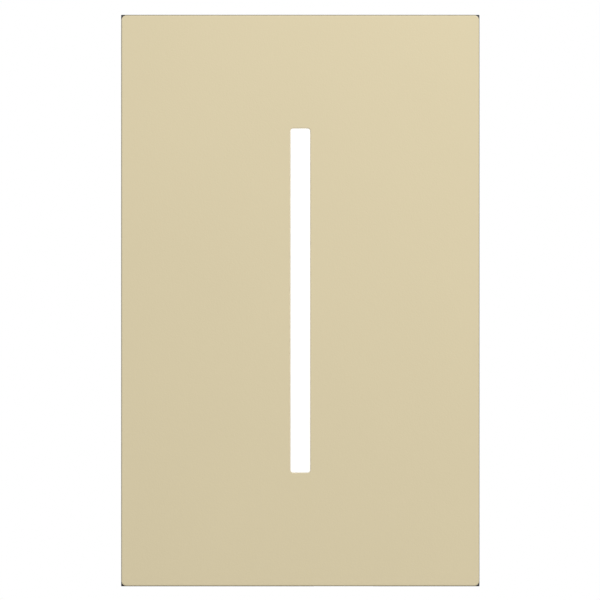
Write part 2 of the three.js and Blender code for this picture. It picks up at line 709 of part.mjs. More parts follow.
function pinHole() {
  return rod(LEVER.pin + 0.09, "x", 0, FAR, [LEVER.y, LEVER.z], 20);
}

function contactLever() {
  const { x } = SERVICE;
  const { y, z } = LEVER;
  const across = [x - 1.6, x + 1.6];
  const hub = rod(2, "x", ...across, [y, z], 20);
  const web = polygon([y, z - 1.2], [y, z + 1.2], [KNOB.y, KNOB.z + 0.6], [KNOB.y, KNOB.z - 0.6]);
  const short_arm = extrude(web, "x", ...across);
  const tip = rod(KNOB.radius, "x", ...across, [KNOB.y, KNOB.z], 12);
  const long_arm = block(across, [y - 1, y + 1], [z, z + 8.4]);
  return union(hub, short_arm, tip, long_arm).subtract(pinHole());
}

function switchBracket() {
  const { x } = SERVICE;
  const { y, z } = LEVER;
  const base = block([x - 3, x + 3], [23.2, 24.1], [z - 3.6, z + 3.8]);
  const cheeks = [-1, 1].map((side) =>
    block([x + side * 2.2, x + side * 3], [y - 1.9, 23.6], [z - 2.2, z + 2.2]),
  );
  return union(base, cheeks).subtract(pinHole());
}

// The two contacts face each other across the line between the rivets, closed at rest.
const CONTACT = { y: LEVER.y + 1.8, z: LEVER.z + 7.2, half: 1.5, radius: 1.2 };

function movingContact() {
  const { y, z } = LEVER;
  const across = [SERVICE.x - CONTACT.half, SERVICE.x + CONTACT.half];
  const strip = block(across, [y + 1.05, y + 1.4], [z + 2.6, z + 8.4]);
  return strip.add(rod(CONTACT.radius, "y", y + 1.3, CONTACT.y, [SERVICE.x, CONTACT.z], 12));
}

function fixedContact() {
  const { y, z } = LEVER;
  const across = [SERVICE.x - CONTACT.half, SERVICE.x + CONTACT.half];
  const blade = block(across, [y + 2.5, y + 3.2], [z + 4.6, z + 9.8]);
  const foot = block(across, [y + 2.5, POWER_BOARD.front - 0.1], [z + 9.1, z + 9.8]);
  const rivet = rod(CONTACT.radius, "y", CONTACT.y + 0.05, y + 2.7, [SERVICE.x, CONTACT.z], 12);
  return union(blade, foot, rivet);
}

function serviceGroup() {
  const { x } = SERVICE;
  const { y, z, pin } = LEVER;
  return group(
    part("service_tab", serviceTab(), BLACK),
    part("contact_lever", contactLever(), WHITE),
    part("moving_contact", movingContact(), COPPER),
    part("lever_pin", rod(pin, "x", x - 3.4, x + 3.4, [y, z], 20), STEEL),
    part("switch_bracket", switchBracket(), BRASS),
    part("fixed_contact", fixedContact(), COPPER),
  );
}

// ---------------------------------------------------------------- the whole dimmer

export default group(
  plateGroup(),
  controlGroup(),
  yokeGroup(),
  housingGroup(),
  terminalGroup(),
  powerGroup(),
  serviceGroup(),
);
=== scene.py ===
"""Looks for a wall-box touch dimmer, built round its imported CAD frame.

Axes: X to the right, Y into the wall, Z up. Shapes are made in millimetres, and show() turns a finished
shape into a piece in Blender's metres. An outline is a list of (x, z) points, a ring is an outline with its
depth y, and a loft is the skin over successive rings. A profile is a list of (outset, y) points: how much an
outline grows, and at what depth.
"""

import json
import math

import bmesh
import bpy
from mathutils import Matrix, Vector


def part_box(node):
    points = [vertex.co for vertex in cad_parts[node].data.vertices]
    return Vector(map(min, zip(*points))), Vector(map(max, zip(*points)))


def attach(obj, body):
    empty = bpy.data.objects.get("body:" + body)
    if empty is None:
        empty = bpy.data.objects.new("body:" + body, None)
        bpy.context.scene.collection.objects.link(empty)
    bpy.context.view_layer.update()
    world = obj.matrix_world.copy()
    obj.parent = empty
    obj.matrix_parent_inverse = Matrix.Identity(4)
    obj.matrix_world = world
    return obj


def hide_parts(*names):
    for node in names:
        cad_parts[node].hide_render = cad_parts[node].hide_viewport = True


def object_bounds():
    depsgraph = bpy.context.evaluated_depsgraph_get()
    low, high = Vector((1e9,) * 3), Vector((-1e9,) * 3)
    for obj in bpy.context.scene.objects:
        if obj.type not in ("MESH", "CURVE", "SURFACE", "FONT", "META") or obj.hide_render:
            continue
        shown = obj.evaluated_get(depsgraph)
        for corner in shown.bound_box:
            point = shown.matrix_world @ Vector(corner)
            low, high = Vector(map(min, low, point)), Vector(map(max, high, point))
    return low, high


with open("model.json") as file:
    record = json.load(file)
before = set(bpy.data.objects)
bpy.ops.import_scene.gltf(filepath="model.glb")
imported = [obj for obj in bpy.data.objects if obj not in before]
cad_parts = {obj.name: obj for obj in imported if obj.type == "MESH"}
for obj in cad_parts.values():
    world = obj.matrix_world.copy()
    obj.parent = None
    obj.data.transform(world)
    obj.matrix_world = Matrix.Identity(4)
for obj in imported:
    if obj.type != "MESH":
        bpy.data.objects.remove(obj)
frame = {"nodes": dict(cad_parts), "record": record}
CAD_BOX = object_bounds()

NODES = frame["nodes"]
SLOT_OF = {row["node"]: row["material_slot"] for row in frame["record"]["subparts"]}
BODY_OF = {node: body for body, nodes in frame["record"]["behaviour"]["bodies"].items() for node in nodes}

MM = 0.001
CORNER_STEPS = 10
ROUND_SIDES = 36
SIDES = (-1, 1)
SHARP_ANGLE = 32
FLAT_ANGLE = 1
POINT_GAP = 1e-4
BOOLEAN_GAP = 1e-3
SLIT_HALF = 0.12


def box(node):
    """The lowest and highest corners of a CAD node, in millimetres."""
    low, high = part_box(node)
    return low / MM, high / MM


def extent(node):
    """The two corners of a CAD node, and its middle."""
    low, high = box(node)
    return low, high, (low + high) / 2


def centre(node):
    return extent(node)[2]


# The plate and what lies behind it, from the room inwards.
SLOT = (4.26, 72.04, 0.6)
FACE = 2
RIM = 1.6
PLATE_CORNER = 1
PLATE_BACK = -3.6
FLANGE_FRONT = -3.5
WEB = 1.4
ADAPTER_OPENING = (45, 76.4, 1.6)
ADAPTER_INSIDE = (68.4, 112.8, 1)
ADAPTER_SKIRT = (71.2, 115.6, 0.5)
POST_SITES = [(side * 29, row * 52) for side in SIDES for row in (-1, 0, 1)]
HOOK_Z = (-20, 20)
FIN_X = 23.6
TAB_X = centre("service_tab").x
BAR = (4.16, 71.94, 0.55)
BAR_SLOT = (4.46, 72.14, 0.7)
BEZEL_BACK = -1.6
PLATE_SCREW_Z = centre("adapter_screw_upper").z
BOX_SCREW_Z = centre("box_screw_upper").z

# What sits in the wall box.
HOUSING_WALL = 1.8
POCKET_FLOOR = 16.5
POCKET_FRONT = 9
POCKET_HALF = 6
POCKET_WALL = 1.6
HOUSING_SCREWS = [centre(f"housing_screw_{number}") for number in range(1, 5)]
TERMINALS = {name: centre(f"{name}_terminal_screw") for name in ("line", "load", "companion")}
LED_COUNT = 7
BOARD_FRONT = box("power_board")[0].y
BOARD_BACK = box("power_board")[1].y
TERMINAL_LEG = 13.7
FIXED_CONTACT_LEG = -20
HEADER_PINS = (-3.81, -1.27, 1.27, 3.81)
HEADER_Z = centre("board_header").z
HEADER_HALF = 1.25
HEADER_SPAN = (21.5, 24.1)
TRIAC_HOLE = centre("triac_screw")
TRIAC_FOOT_SPAN = (8, 8.5)
PITCH_ROW = (-2.54, 0, 2.54)
RESISTOR_LEG = 5.65
# How far each part's two legs stand from its middle.
LEG_REACH = {"film_capacitor": 7.5, "electrolytic_capacitor": 2.5, "fuse": 2.54, "varistor": 2.5}

# Screw shanks and threads.
SHANK_6_32 = 1.65
THREAD_6_32 = (0.794, 0.32)
SHANK_M3 = 1.45
THREAD_M3 = (0.6, 0.24)


# ---- Materials, made of nodes


class Shader:
    """A material under construction: its Principled shader, and short calls that add and join nodes."""

    def __init__(self, name, color, roughness, metallic=0.0, **sockets):
        self.color = color
        self.material = bpy.data.materials.new(name)
        self.material.use_nodes = True
        self.tree = self.material.node_tree
        self.principled = self.tree.nodes["Principled BSDF"]
        self.place = self.tree.nodes.new("ShaderNodeTexCoord").outputs["Object"]
        self.normal = None
        self.set("Base Color", (*color, 1))
        self.set("Roughness", roughness)
        self.set("Metallic", metallic)
        for socket, value in sockets.items():
            self.set(socket.replace("_", " "), value)

    def set(self, socket, value):
        self.principled.inputs[socket].default_value = value

    def join(self, output, socket):
        self.tree.links.new(output, self.principled.inputs[socket])

    def add(self, kind, inputs, **settings):
        """A new node whose inputs are joined to outputs or set to values."""
        node = self.tree.nodes.new(kind)
        for key, value in settings.items():
            setattr(node, key, value)
        for key, value in inputs.items():
            if isinstance(value, bpy.types.NodeSocket):
                self.tree.links.new(value, node.inputs[key])
            else:
                node.inputs[key].default_value = value
        return node

    def mapped(self, scale=(1, 1, 1), rotation=(0, 0, 0)):
        """Object coordinates, turned and scaled along each axis."""
        inputs = {"Vector": self.place, "Scale": scale, "Rotation": rotation}
        return self.add("ShaderNodeMapping", inputs).outputs["Vector"]

    def noise(self, scale, detail=3.0, roughness=0.55, vector=None):
        inputs = {"Vector": vector or self.place, "Scale": scale, "Detail": detail, "Roughness": roughness}
        return self.add("ShaderNodeTexNoise", inputs).outputs["Fac"]

    def ramp(self, value, stops, interpolation="LINEAR"):
        """A colour ramp over (position, colour) stops."""
        node = self.add("ShaderNodeValToRGB", {"Fac": value})
        node.color_ramp.interpolation = interpolation
        elements = node.color_ramp.elements
        while len(elements) < len(stops):
            elements.new(0.5)
        for element, (position, color) in zip(elements, stops):
            element.position = position
            element.color = (*color, 1)
        return node.outputs["Color"]

    def spread(self, value, low, high):
        """Maps a value of 0 to 1 onto low to high."""
        inputs = {"Value": value, "To Min": low, "To Max": high}
        return self.add("ShaderNodeMapRange", inputs).outputs["Result"]

    def bump(self, height, distance, strength):
        """Lays a bump over any laid before it. The distance is in millimetres."""
        inputs = {"Height": height, "Distance": distance * MM, "Strength": strength}
        if self.normal:
            inputs["Normal"] = self.normal
        self.normal = self.add("ShaderNodeBump", inputs).outputs["Normal"]
        self.join(self.normal, "Normal")

    def tint(self, value, amount):
        """Makes the base colour darker and lighter by a share, as the value varies."""
        low = [part * (1 - amount) for part in self.color]
        high = [min(1, part * (1 + amount)) for part in self.color]
        self.join(self.ramp(value, [(0.3, low), (0.7, high)]), "Base Color")


def moulded(name, color, roughness, tint=0.03, grain=0.02, grain_scale=2600):
    """Injection-moulded or cast plastic: fine grain, faint flow marks and uneven gloss."""
    shader = Shader(name, color, roughness)
    coarse = shader.noise(120)
    shader.tint(shader.noise(38, 4), tint)
    shader.join(shader.spread(coarse, roughness - 0.05, roughness + 0.05), "Roughness")
    shader.bump(coarse, 0.04, 0.15)
    shader.bump(shader.noise(grain_scale, 2, 0.6), grain, 0.6)
    return shader.material


def brushed(name, color, roughness, along, scratch=0.012):
    """Metal with fine drawn lines along the axis whose scale is least."""
    shader = Shader(name, color, roughness, 1.0)
    lines = shader.noise(900, 4, 0.6, shader.mapped(along))
    shader.tint(shader.noise(60), 0.08)
    shader.join(shader.spread(lines, roughness - 0.1, roughness + 0.12), "Roughness")
    shader.bump(lines, scratch, 0.5)
    return shader.material


def plated(name, color, roughness):
    """Plated or bright metal with a mottled finish and fine pits."""
    shader = Shader(name, color, roughness, 1.0)
    mottle = shader.noise(420, 5, 0.65)
    shader.tint(mottle, 0.1)
    shader.join(shader.spread(mottle, roughness - 0.08, roughness + 0.1), "Roughness")
    shader.bump(shader.noise(2400, 2), 0.008, 0.5)
    return shader.material


def opal_bar(name, color, glow):
    """White opal plastic lit softly from behind, a little unevenly along its length."""
    shader = Shader(name, color, 0.35)
    shader.set("Emission Color", (*color, 1))
    shader.tint(shader.noise(50), 0.01)
    uneven = shader.noise(100, 1, 0.5, shader.mapped((0.1, 0.1, 1)))
    shader.join(shader.spread(uneven, glow * 0.9, glow * 1.1), "Emission Strength")
    shader.bump(shader.noise(900, 2), 0.004, 0.4)
    return shader.material


def clear_acrylic(name, color):
    shader = Shader(name, color, 0.06, Transmission_Weight=0.9, IOR=1.49)
    shader.tint(shader.noise(80), 0.02)
    shader.bump(shader.noise(180, 2), 0.01, 0.2)
    return shader.material


def circuit_board(name, color):
    """Solder mask over squared copper tracks that run round tinned pads, with a trace of glass cloth."""
    shader = Shader(name, color, 0.38, Coat_Weight=0.25)
    flat = shader.mapped(scale=(1, 0, 1))
    inputs = {"Vector": flat, "Scale": 190, "Randomness": 0.75}
    cells = shader.add("ShaderNodeTexVoronoi", inputs, distance="CHEBYCHEV").outputs["Distance"]
    over_copper = [min(1, part * 2 + 0.012) for part in color]
    track = (0, 0, 0), (1, 1, 1)
    edges = ((0, 1), (0.16, 0), (0.24, 1), (0.3, 0), (0.4, 1), (0.46, 0), (0.56, 1), (0.62, 0), (0.72, 1))
    copper = shader.ramp(cells, [(at, track[on]) for at, on in edges], "CONSTANT")
    stops = [(0, (0.55, 0.55, 0.52)), (0.09, color), (0.16, color)]
    stops += [(at, (color, over_copper)[on]) for at, on in edges[2:]]
    shader.join(shader.ramp(cells, stops, "CONSTANT"), "Base Color")
    shader.bump(copper, 0.035, 0.6)
    shader.bump(shader.noise(2200, 1), 0.006, 0.4)
    return shader.material


def flexible_circuit(name, color, copper):
    """Amber polyimide film with copper fingers across it."""
    shader = Shader(name, color, 0.3, Coat_Weight=0.3)
    inputs = {"Vector": shader.place, "Scale": 60}
    fingers = shader.add("ShaderNodeTexWave", inputs, bands_direction="Z", wave_profile="TRI").outputs["Fac"]
    shader.join(shader.ramp(fingers, [(0.42, color), (0.5, copper)]), "Base Color")
    shader.bump(fingers, 0.03, 0.5)
    return shader.material


def enamelled(name, color):
    """Copper under clear enamel."""
    shader = Shader(name, color, 0.22, 1.0, Coat_Weight=0.6)
    shader.tint(shader.noise(600), 0.12)
    shader.bump(shader.noise(1500, 2), 0.01, 0.5)
    return shader.material


def fibre(name, color):
    """Pressed card: mottled, matt and fibrous."""
    shader = Shader(name, color, 0.85)
    strands = shader.noise(700, 6, 0.7, shader.mapped((0.25, 1, 1)))
    shader.tint(strands, 0.25)
    shader.bump(strands, 0.04, 0.8)
    return shader.material


def banded_ceramic(name, color):
    """A coated resistor body with plain colour bands round it."""
    shader = Shader(name, color, 0.45)
    low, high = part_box("bleed_resistor")
    height = shader.add("ShaderNodeSeparateXYZ", {"Vector": shader.place}).outputs["Z"]
    limits = {"Value": height, "From Min": low.z, "From Max": high.z}
    along = shader.add("ShaderNodeMapRange", limits).outputs["Result"]
    stops = [(0, color)]
    brown, black, red, gold = (0.12, 0.04, 0.02), (0.01, 0.01, 0.01), (0.55, 0.03, 0.02), (0.5, 0.33, 0.08)
    for start, band in ((0.26, brown), (0.38, black), (0.5, red), (0.7, gold)):
        stops += [(start, band), (start + 0.05, color)]
    shader.join(shader.ramp(along, stops, "CONSTANT"), "Base Color")
    shader.bump(shader.noise(1400, 2), 0.01, 0.5)
    return shader.material


RECIPES = {
    "ivory_plastic": (moulded, (0.724, 0.628, 0.404), 0.52, 0.006, 0.03, 3200),
    "black_plastic": (moulded, (0.018, 0.018, 0.019), 0.5, 0.2),
    "opal_light_bar": (opal_bar, (0.86, 0.86, 0.85), 0.35),
    "clear_acrylic": (clear_acrylic, (0.96, 0.98, 0.98)),
    "white_plastic": (moulded, (0.82, 0.82, 0.79), 0.45),
    "yoke_aluminium": (brushed, (0.72, 0.73, 0.75), 0.36, (1, 1, 0.02)),
    "plated_steel": (plated, (0.62, 0.62, 0.6), 0.3),
    "brass": (plated, (0.78, 0.55, 0.22), 0.28),
    "green_plated_steel": (plated, (0.03, 0.28, 0.09), 0.34),
    "solder_mask_green": (circuit_board, (0.012, 0.11, 0.045)),
    "sensor_film": (flexible_circuit, (0.5, 0.24, 0.05), (0.5, 0.22, 0.08)),
    "copper": (enamelled, (0.72, 0.27, 0.12)),
    "iron_powder_core": (moulded, (0.62, 0.5, 0.07), 0.6, 0.12, 0.06, 1500),
    "amber_capacitor_case": (moulded, (0.66, 0.3, 0.03), 0.3, 0.08),
    "black_epoxy": (moulded, (0.02, 0.02, 0.022), 0.42, 0.25, 0.03, 1900),
    "blue_epoxy": (moulded, (0.03, 0.12, 0.45), 0.3, 0.15, 0.05, 700),
    "fibre_card": (fibre, (0.33, 0.17, 0.08)),
    "resistor_ceramic": (banded_ceramic, (0.42, 0.3, 0.2)),
    "label_foil": (brushed, (0.66, 0.67, 0.68), 0.34, (0.03, 1, 1), 0.006),
    "thermal_pad": (moulded, (0.3, 0.32, 0.34), 0.8, 0.1, 0.05, 900),
}
MATERIALS = {name: make(name, *values) for name, (make, *values) in RECIPES.items()}


# ---- Outlines and profiles


def rounded(width, height, radius, x=0.0, z=0.0, steps=CORNER_STEPS):
    """A rectangle with arcs for corners, anticlockwise from its right side."""
    points = []
    for turn, (side_x, side_z) in enumerate(((1, 1), (-1, 1), (-1, -1), (1, -1))):
        across = x + side_x * (width / 2 - radius)
        up = z + side_z * (height / 2 - radius)
        for step in range(steps + 1):
            angle = math.radians(90 * (turn + step / steps))
            points.append((across + radius * math.cos(angle), up + radius * math.sin(angle)))
    return points


def circle(radius, x=0.0, z=0.0, sides=ROUND_SIDES):
    angles = [2 * math.pi * step / sides for step in range(sides)]
    return [(x + radius * math.cos(angle), z + radius * math.sin(angle)) for angle in angles]


def rounded_rings(size, profile, base=0.0, **place):
    """Rings of a (width, height, corner) rectangle that a profile, measured from a base, makes grow."""
    width, height, corner = size
    rings = []
    for outset, y in profile:
        shrunk = max(corner + outset, 0.05)
        rings.append((rounded(width + 2 * outset, height + 2 * outset, shrunk, **place), base + y))
    return rings


def arc(start, corner, end, radius, steps=4):
    """A profile's corner, rounded: points from start's side of it to end's."""
    corner = Vector(corner)
    toward_start = (Vector(start) - corner).normalized()
    toward_end = (Vector(end) - corner).normalized()
    middle = corner + (toward_start + toward_end) * radius
    points = []
    for step in range(steps + 1):
        angle = math.pi / 2 * step / steps
        offset = toward_end * math.cos(angle) + toward_start * math.sin(angle)
        points.append(tuple(middle - offset * radius))
    return points


# ---- Meshes


def as_mesh(shape):
    """Turns a bmesh into a mesh as it is."""
    mesh = bpy.data.meshes.new("shape")
    shape.to_mesh(mesh)
    shape.free()
    return mesh


def to_mesh(shape):
    """Turns a bmesh into a mesh whose points are merged and whose faces look outwards."""
    bmesh.ops.remove_doubles(shape, verts=shape.verts, dist=POINT_GAP)
    bmesh.ops.recalc_face_normals(shape, faces=shape.faces)
    return as_mesh(shape)


def skin(shape, rings, closed):
    """Faces between successive rings of points. An unclosed skin is capped at both ends."""
    pairs = list(zip(rings, rings[1:]))
    if closed:
        pairs.append((rings[-1], rings[0]))
    else:
        shape.faces.new(rings[0])
        shape.faces.new(rings[-1])
    for first, second in pairs:
        for index in range(len(first)):
            following = (index + 1) % len(first)
            shape.faces.new((first[index], first[following], second[following], second[index]))


def loft(rings, closed=False):
    """A solid through rings of equal length. A closed one ends where it began, as a tyre does."""
    shape = bmesh.new()
    skin(shape, [[shape.verts.new((x, y, z)) for x, z in outline] for outline, y in rings], closed)
    return to_mesh(shape)


def shell(*stretches, closed=True):
    """A loft through stretches in turn, each a (width, height, corner) and its profile."""
    return loft([ring for size, profile in stretches for ring in rounded_rings(size, profile)], closed)


def extruded(outline, axis, low, high):
    """An outline in the two axes across the given one, 0 to 2, run between two levels of it."""
    shape = bmesh.new()
    ends = []
    for level in (low, high):
        ends.append([shape.verts.new((*point[:axis], level, *point[axis:])) for point in outline])
    skin(shape, ends, False)
    return to_mesh(shape)


def brick(x_span, y_span, z_span):
    """A box between two limits on each axis, in either order. It is only cut from or joined to others."""
    (x0, x1), (z0, z1) = sorted(x_span), sorted(z_span)
    return extruded([(x0, z0), (x1, z0), (x1, z1), (x0, z1)], 1, *sorted(y_span))


def slab(size, low, high, edge, **place):
    """A rounded rectangle across Y whose front and back edges are rounded too."""
    front = arc((-1, low), (0, low), (0, high), edge)
    back = arc((0, low), (0, high), (-1, high), edge)
    return loft(rounded_rings(size, [*front, *back], **place))


def turned(profile, x=0.0, z=0.0, sides=ROUND_SIDES, base=0.0):
    """A solid of revolution along Y from (radius, y) points, measured from a base."""
    return loft([(circle(radius, x, z, sides), base + y) for radius, y in profile])


def placed(mesh, at, direction=(0, 1, 0)):
    """Turns a shape's +Y to a direction and moves it from the origin to a point."""
    turn = Vector((0, 1, 0)).rotation_difference(Vector(direction)).to_matrix().to_4x4()
    mesh.transform(Matrix.Translation(at) @ turn)
    return mesh


def merged(meshes):
    """Several meshes as one, each left whole."""
    shape = bmesh.new()
    for mesh in meshes:
        shape.from_mesh(mesh)
    return as_mesh(shape)


def added(name, data):
    """A new object in the scene."""
    holder = bpy.data.objects.new(name, data)
    bpy.context.scene.collection.objects.link(holder)
    return holder


def evaluated(obj):
    """The mesh of an object with its modifiers applied. The object is removed."""
    mesh = bpy.data.meshes.new_from_object(obj.evaluated_get(bpy.context.evaluated_depsgraph_get()))
    bpy.data.objects.remove(obj)
    return mesh


def combined(operation, base, others):
    """A boolean of a mesh with several others."""
    tool = added("tool", merged(others))
    holder = added("holder", base)
    modifier = holder.modifiers.new("boolean", "BOOLEAN")
    modifier.operation = operation
    modifier.solver = "EXACT"
    modifier.use_self = len(others) > 1
    modifier.object = tool
    mesh = evaluated(holder)
    bpy.data.objects.remove(tool)
    shape = bmesh.new()
    shape.from_mesh(mesh)
    bmesh.ops.remove_doubles(shape, verts=shape.verts, dist=BOOLEAN_GAP)
    bmesh.ops.dissolve_degenerate(shape, edges=shape.edges, dist=BOOLEAN_GAP)
    shape.to_mesh(mesh)
    shape.free()
    return mesh


def joined(base, *others):
    return combined("UNION", base, others)


def cut(base, *others):
    return combined("DIFFERENCE", base, others)


def crossed_slits(at, reach, y_span):
    """Cutters for two thin slits that cross at a point."""
    cutters = []
    for wide, tall in ((reach, SLIT_HALF), (SLIT_HALF, reach)):
        cutters.append(brick((at.x - wide, at.x + wide), y_span, (at.z - tall, at.z + tall)))
    return cutters


def eased(mesh, width, angle=35):
    """Rounds every edge sharper than the angle."""
    shape = bmesh.new()
    shape.from_mesh(mesh)
    flat, limit = math.radians(FLAT_ANGLE), math.radians(angle)
    bmesh.ops.dissolve_limit(shape, angle_limit=flat, verts=shape.verts, edges=shape.edges)
    sharp = [edge for edge in shape.edges if edge.is_manifold and edge.calc_face_angle() > limit]
    bmesh.ops.bevel(
        shape, geom=sharp, offset=width, offset_type="OFFSET", segments=2, profile=0.5, affect="EDGES",
        clamp_overlap=True,
    )
    return to_mesh(shape)


def cad_mesh(node):
    """A copy of a CAD node's mesh, in millimetres, with its points merged."""
    shape = bmesh.new()
    shape.from_mesh(NODES[node].data)
    bmesh.ops.scale(shape, vec=(1 / MM, 1 / MM, 1 / MM), verts=shape.verts)
    return to_mesh(shape)


def wire(points, radius):
    """A round wire on a smooth curve near the given points."""
    curve = bpy.data.curves.new("wire", "CURVE")
    curve.dimensions = "3D"
    curve.bevel_depth = radius
    curve.bevel_resolution = 3
    curve.use_fill_caps = True
    spline = curve.splines.new("NURBS")
    spline.points.add(len(points) - 1)
    for target, point in zip(spline.points, points):
        target.co = (*point, 1)
    spline.use_endpoint_u = True
    spline.order_u = 3
    spline.resolution_u = 5
    shape = bmesh.new()
    shape.from_mesh(evaluated(added("wire", curve)))
    return to_mesh(shape)


# ---- Pieces


def show(name, mesh, node, slot=None):
    """Shows a shape as a piece on a CAD node's body. Without a slot of its own it stands for the node."""
    mesh.transform(Matrix.Scale(MM, 4))
    mesh.shade_smooth()
    mesh.set_sharp_from_angle(angle=math.radians(SHARP_ANGLE))
    mesh.materials.clear()
    mesh.materials.append(MATERIALS[slot or SLOT_OF[node]])
    piece = added(name, mesh)
    normals = piece.modifiers.new("weighted normals", "WEIGHTED_NORMAL")
    normals.keep_sharp = True
    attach(piece, BODY_OF[node])
    if not slot:
        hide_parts(node)


def wallplate():
    """The plate: one shell from the slot's edge round to the hollow behind, and its posts."""
    low, high = box("wallplate")
    front, inner = low.y, low.y + FACE
    width, height = high.x - low.x, high.z - low.z
    outer = (width, height, PLATE_CORNER)
    hollow = (width - 2 * RIM, height - 2 * RIM, 0.4)
    plate = shell(
        (SLOT, arc((1, front), (0, front), (0, inner), 0.12)),
        (SLOT, arc((0, front), (0, inner), (1, inner), 0.15, 2)),
        (hollow, [(-0.35, inner), (-0.1, inner + 0.1), (0, inner + 0.35)]),
        (hollow, [(0, PLATE_BACK - 0.12), (0.12, PLATE_BACK)]),
        (outer, [(-0.12, PLATE_BACK), (0, PLATE_BACK - 0.12)]),
        (outer, arc((0, PLATE_BACK), (0, front), (-1, front), 0.25, 6)),
    )
    post = [(2.1, -0.3), (2.1, 0), (1.75, 0.12), (1.55, 0.35), (1.5, 0.5), (1.5, 2.3), (1.42, 2.55),
            (1.2, 2.72), (0.85, 2.79)]
    posts = [turned(post, x, z, base=inner) for x, z in POST_SITES]
    show("wallplate_shell", joined(plate, *posts), "wallplate")


def light_bar():
    low, high = box("light_bar_lens")
    nose = slab(BAR, low.y, FLANGE_FRONT + 0.2, 0.2)
    flange = slab((high.x - low.x, high.z - low.z, 0.5), FLANGE_FRONT, high.y, 0.1)
    show("light_bar", joined(nose, flange), "light_bar_lens")


def adapter():
    """The black frame: flange, raised skirt and web, with sockets, screw bosses and ribs."""
    low, high = box("adapter_frame")
    front, web = low.y, low.y + WEB
    flange = (high.x - low.x, high.z - low.z, 0.12)
    body = shell(
        (ADAPTER_OPENING, arc((1, front), (0, front), (0, web), 0.25)),
        (ADAPTER_OPENING, [(0, web - 0.1), (0.1, web)]),
        (ADAPTER_INSIDE, [(-0.4, web), (0, web + 0.4), (0, -0.1), (0.1, 0)]),
        (flange, [(-0.08, 0), (0, -0.08), (0, FLANGE_FRONT + 0.04), (-0.04, FLANGE_FRONT)]),
        (ADAPTER_SKIRT, [(0.2, FLANGE_FRONT), (0, FLANGE_FRONT - 0.2)]),
        (ADAPTER_SKIRT, arc((0, FLANGE_FRONT), (0, front), (-1, front), 0.3)),
    )
    collar = [(2.8, -0.4), (2.8, 1.15), (2.65, 1.3)]
    extras = [turned(collar, x, z, base=web) for x, z in POST_SITES]
    socket = [(2.5, -0.5), (1.95, 0), (1.65, 0.3), (1.65, 4)]
    cuts = [turned(socket, x, z, base=front) for x, z in POST_SITES]
    countersink = [(3.55, -0.5), (3.55, 0.6), (1.95, 2.15), (1.95, 5)]
    for side in SIDES:
        z = side * PLATE_SCREW_Z
        extras.append(turned([(3.2, web - 0.4), (3.2, BEZEL_BACK)], 0, z))
        cuts.append(turned(countersink, 0, z, base=front))
        for rib in (-26, 26):
            extras.append(brick((side * 25, side * 34.4), (web - 0.3, web + 1.1), (rib - 0.6, rib + 0.6)))
    cuts.append(brick((TAB_X - 6.2, TAB_X + 6.2), (FLANGE_FRONT, -1.5), (low.z - 5, -55.4)))
    show("adapter_shell", cut(joined(body, *extras), *cuts), "adapter_frame")


def bezel():
    """The control's black front: its slot, its rim, barbed legs, and ribs behind the sensor film."""
    low, high = box("control_bezel")
    front, inner = low.y, low.y + WEB
    outer = (high.x - low.x, high.z - low.z, 1.5)
    cavity = (outer[0] - 2 * WEB, outer[1] - 2 * WEB, 1)
    body = shell(
        (BAR_SLOT, arc((1, front), (0, front), (0, inner), 0.2)),
        (BAR_SLOT, [(0, inner - 0.05), (0.05, inner)]),
        (cavity, [(-0.3, inner), (0, inner + 0.3), (0, BEZEL_BACK - 0.1), (0.1, BEZEL_BACK)]),
        (outer, [(-0.15, BEZEL_BACK), (0, BEZEL_BACK - 0.15)]),
        (outer, arc((0, BEZEL_BACK), (0, front), (-1, front), 0.4)),
    )
    leg = [(17.9, inner - 0.4), (19.1, inner - 0.4), (19.1, 0.3), (19.7, 0.32), (19.7, 0.55), (19.1, high.y),
           (17.9, high.y)]
    extras = []
    for side in SIDES:
        outline = [(side * x, y) for x, y in leg]
        extras += [extruded(outline, 2, z - 2, z + 2) for z in HOOK_Z]
        extras.append(brick((side * 6.4, side * 7.2), (inner - 0.4, -2.2), (-24, 16)))
    notch = brick((TAB_X - 3.2, TAB_X + 3.2), (FLANGE_FRONT, 0), (low.z - 5, low.z + WEB + 1))
    show("bezel_shell", cut(joined(body, *extras), notch), "control_bezel")


def yoke():
    """The stamped aluminium yoke. Its front edges are rolled as the punch leaves them."""
    low, high = box("yoke")
    front = low.y
    rolled = [(-0.18, 0), (-0.08, 0.03), (-0.02, 0.1), (0, 0.22), (0, 1.46), (-0.04, 1.5)]
    outline = (high.x - low.x, high.z - low.z, 4)
    plate = loft(rounded_rings(outline, rolled, front, steps=1))
    cuts = []

    def window(width, height, corner, x, z):
        walls = [(0.6, -0.5), (0.16, -0.06), (0.12, 0.02), (0.03, 0.1), (0, 0.2), (0, 3)]
        cuts.append(loft(rounded_rings((width, height, corner), walls, front, x=x, z=z, steps=6)))

    window(8.4, 68.2, 1, 0, 0)
    window(5, 8.4, 0.6, TAB_X, -29.4)
    window(1.2, 7, 0.3, -6.1, 21)
    window(3.2, 3.2, 1.59, TRIAC_HOLE.x, TRIAC_HOLE.z)
    for screw in HOUSING_SCREWS:
        window(3.2, 3.2, 1.59, screw.x, screw.z)
    for side in SIDES:
        window(6.6, 3.9, 1.94, 0, side * BOX_SCREW_Z)
        window(3.6, 3.6, 1.79, 0, side * PLATE_SCREW_Z)
        for z in HOOK_Z:
            window(2.6, 4.8, 0.3, side * 18.8, z)
        fin = side * FIN_X
        score = [(fin - 0.6, front - 0.1), (fin, front + 0.55), (fin + 0.6, front - 0.1)]
        cuts.append(extruded(score, 2, low.z - 5, high.z + 5))
    show("yoke_plate", joined(cut(plate, *cuts), ground_tab()), "yoke")


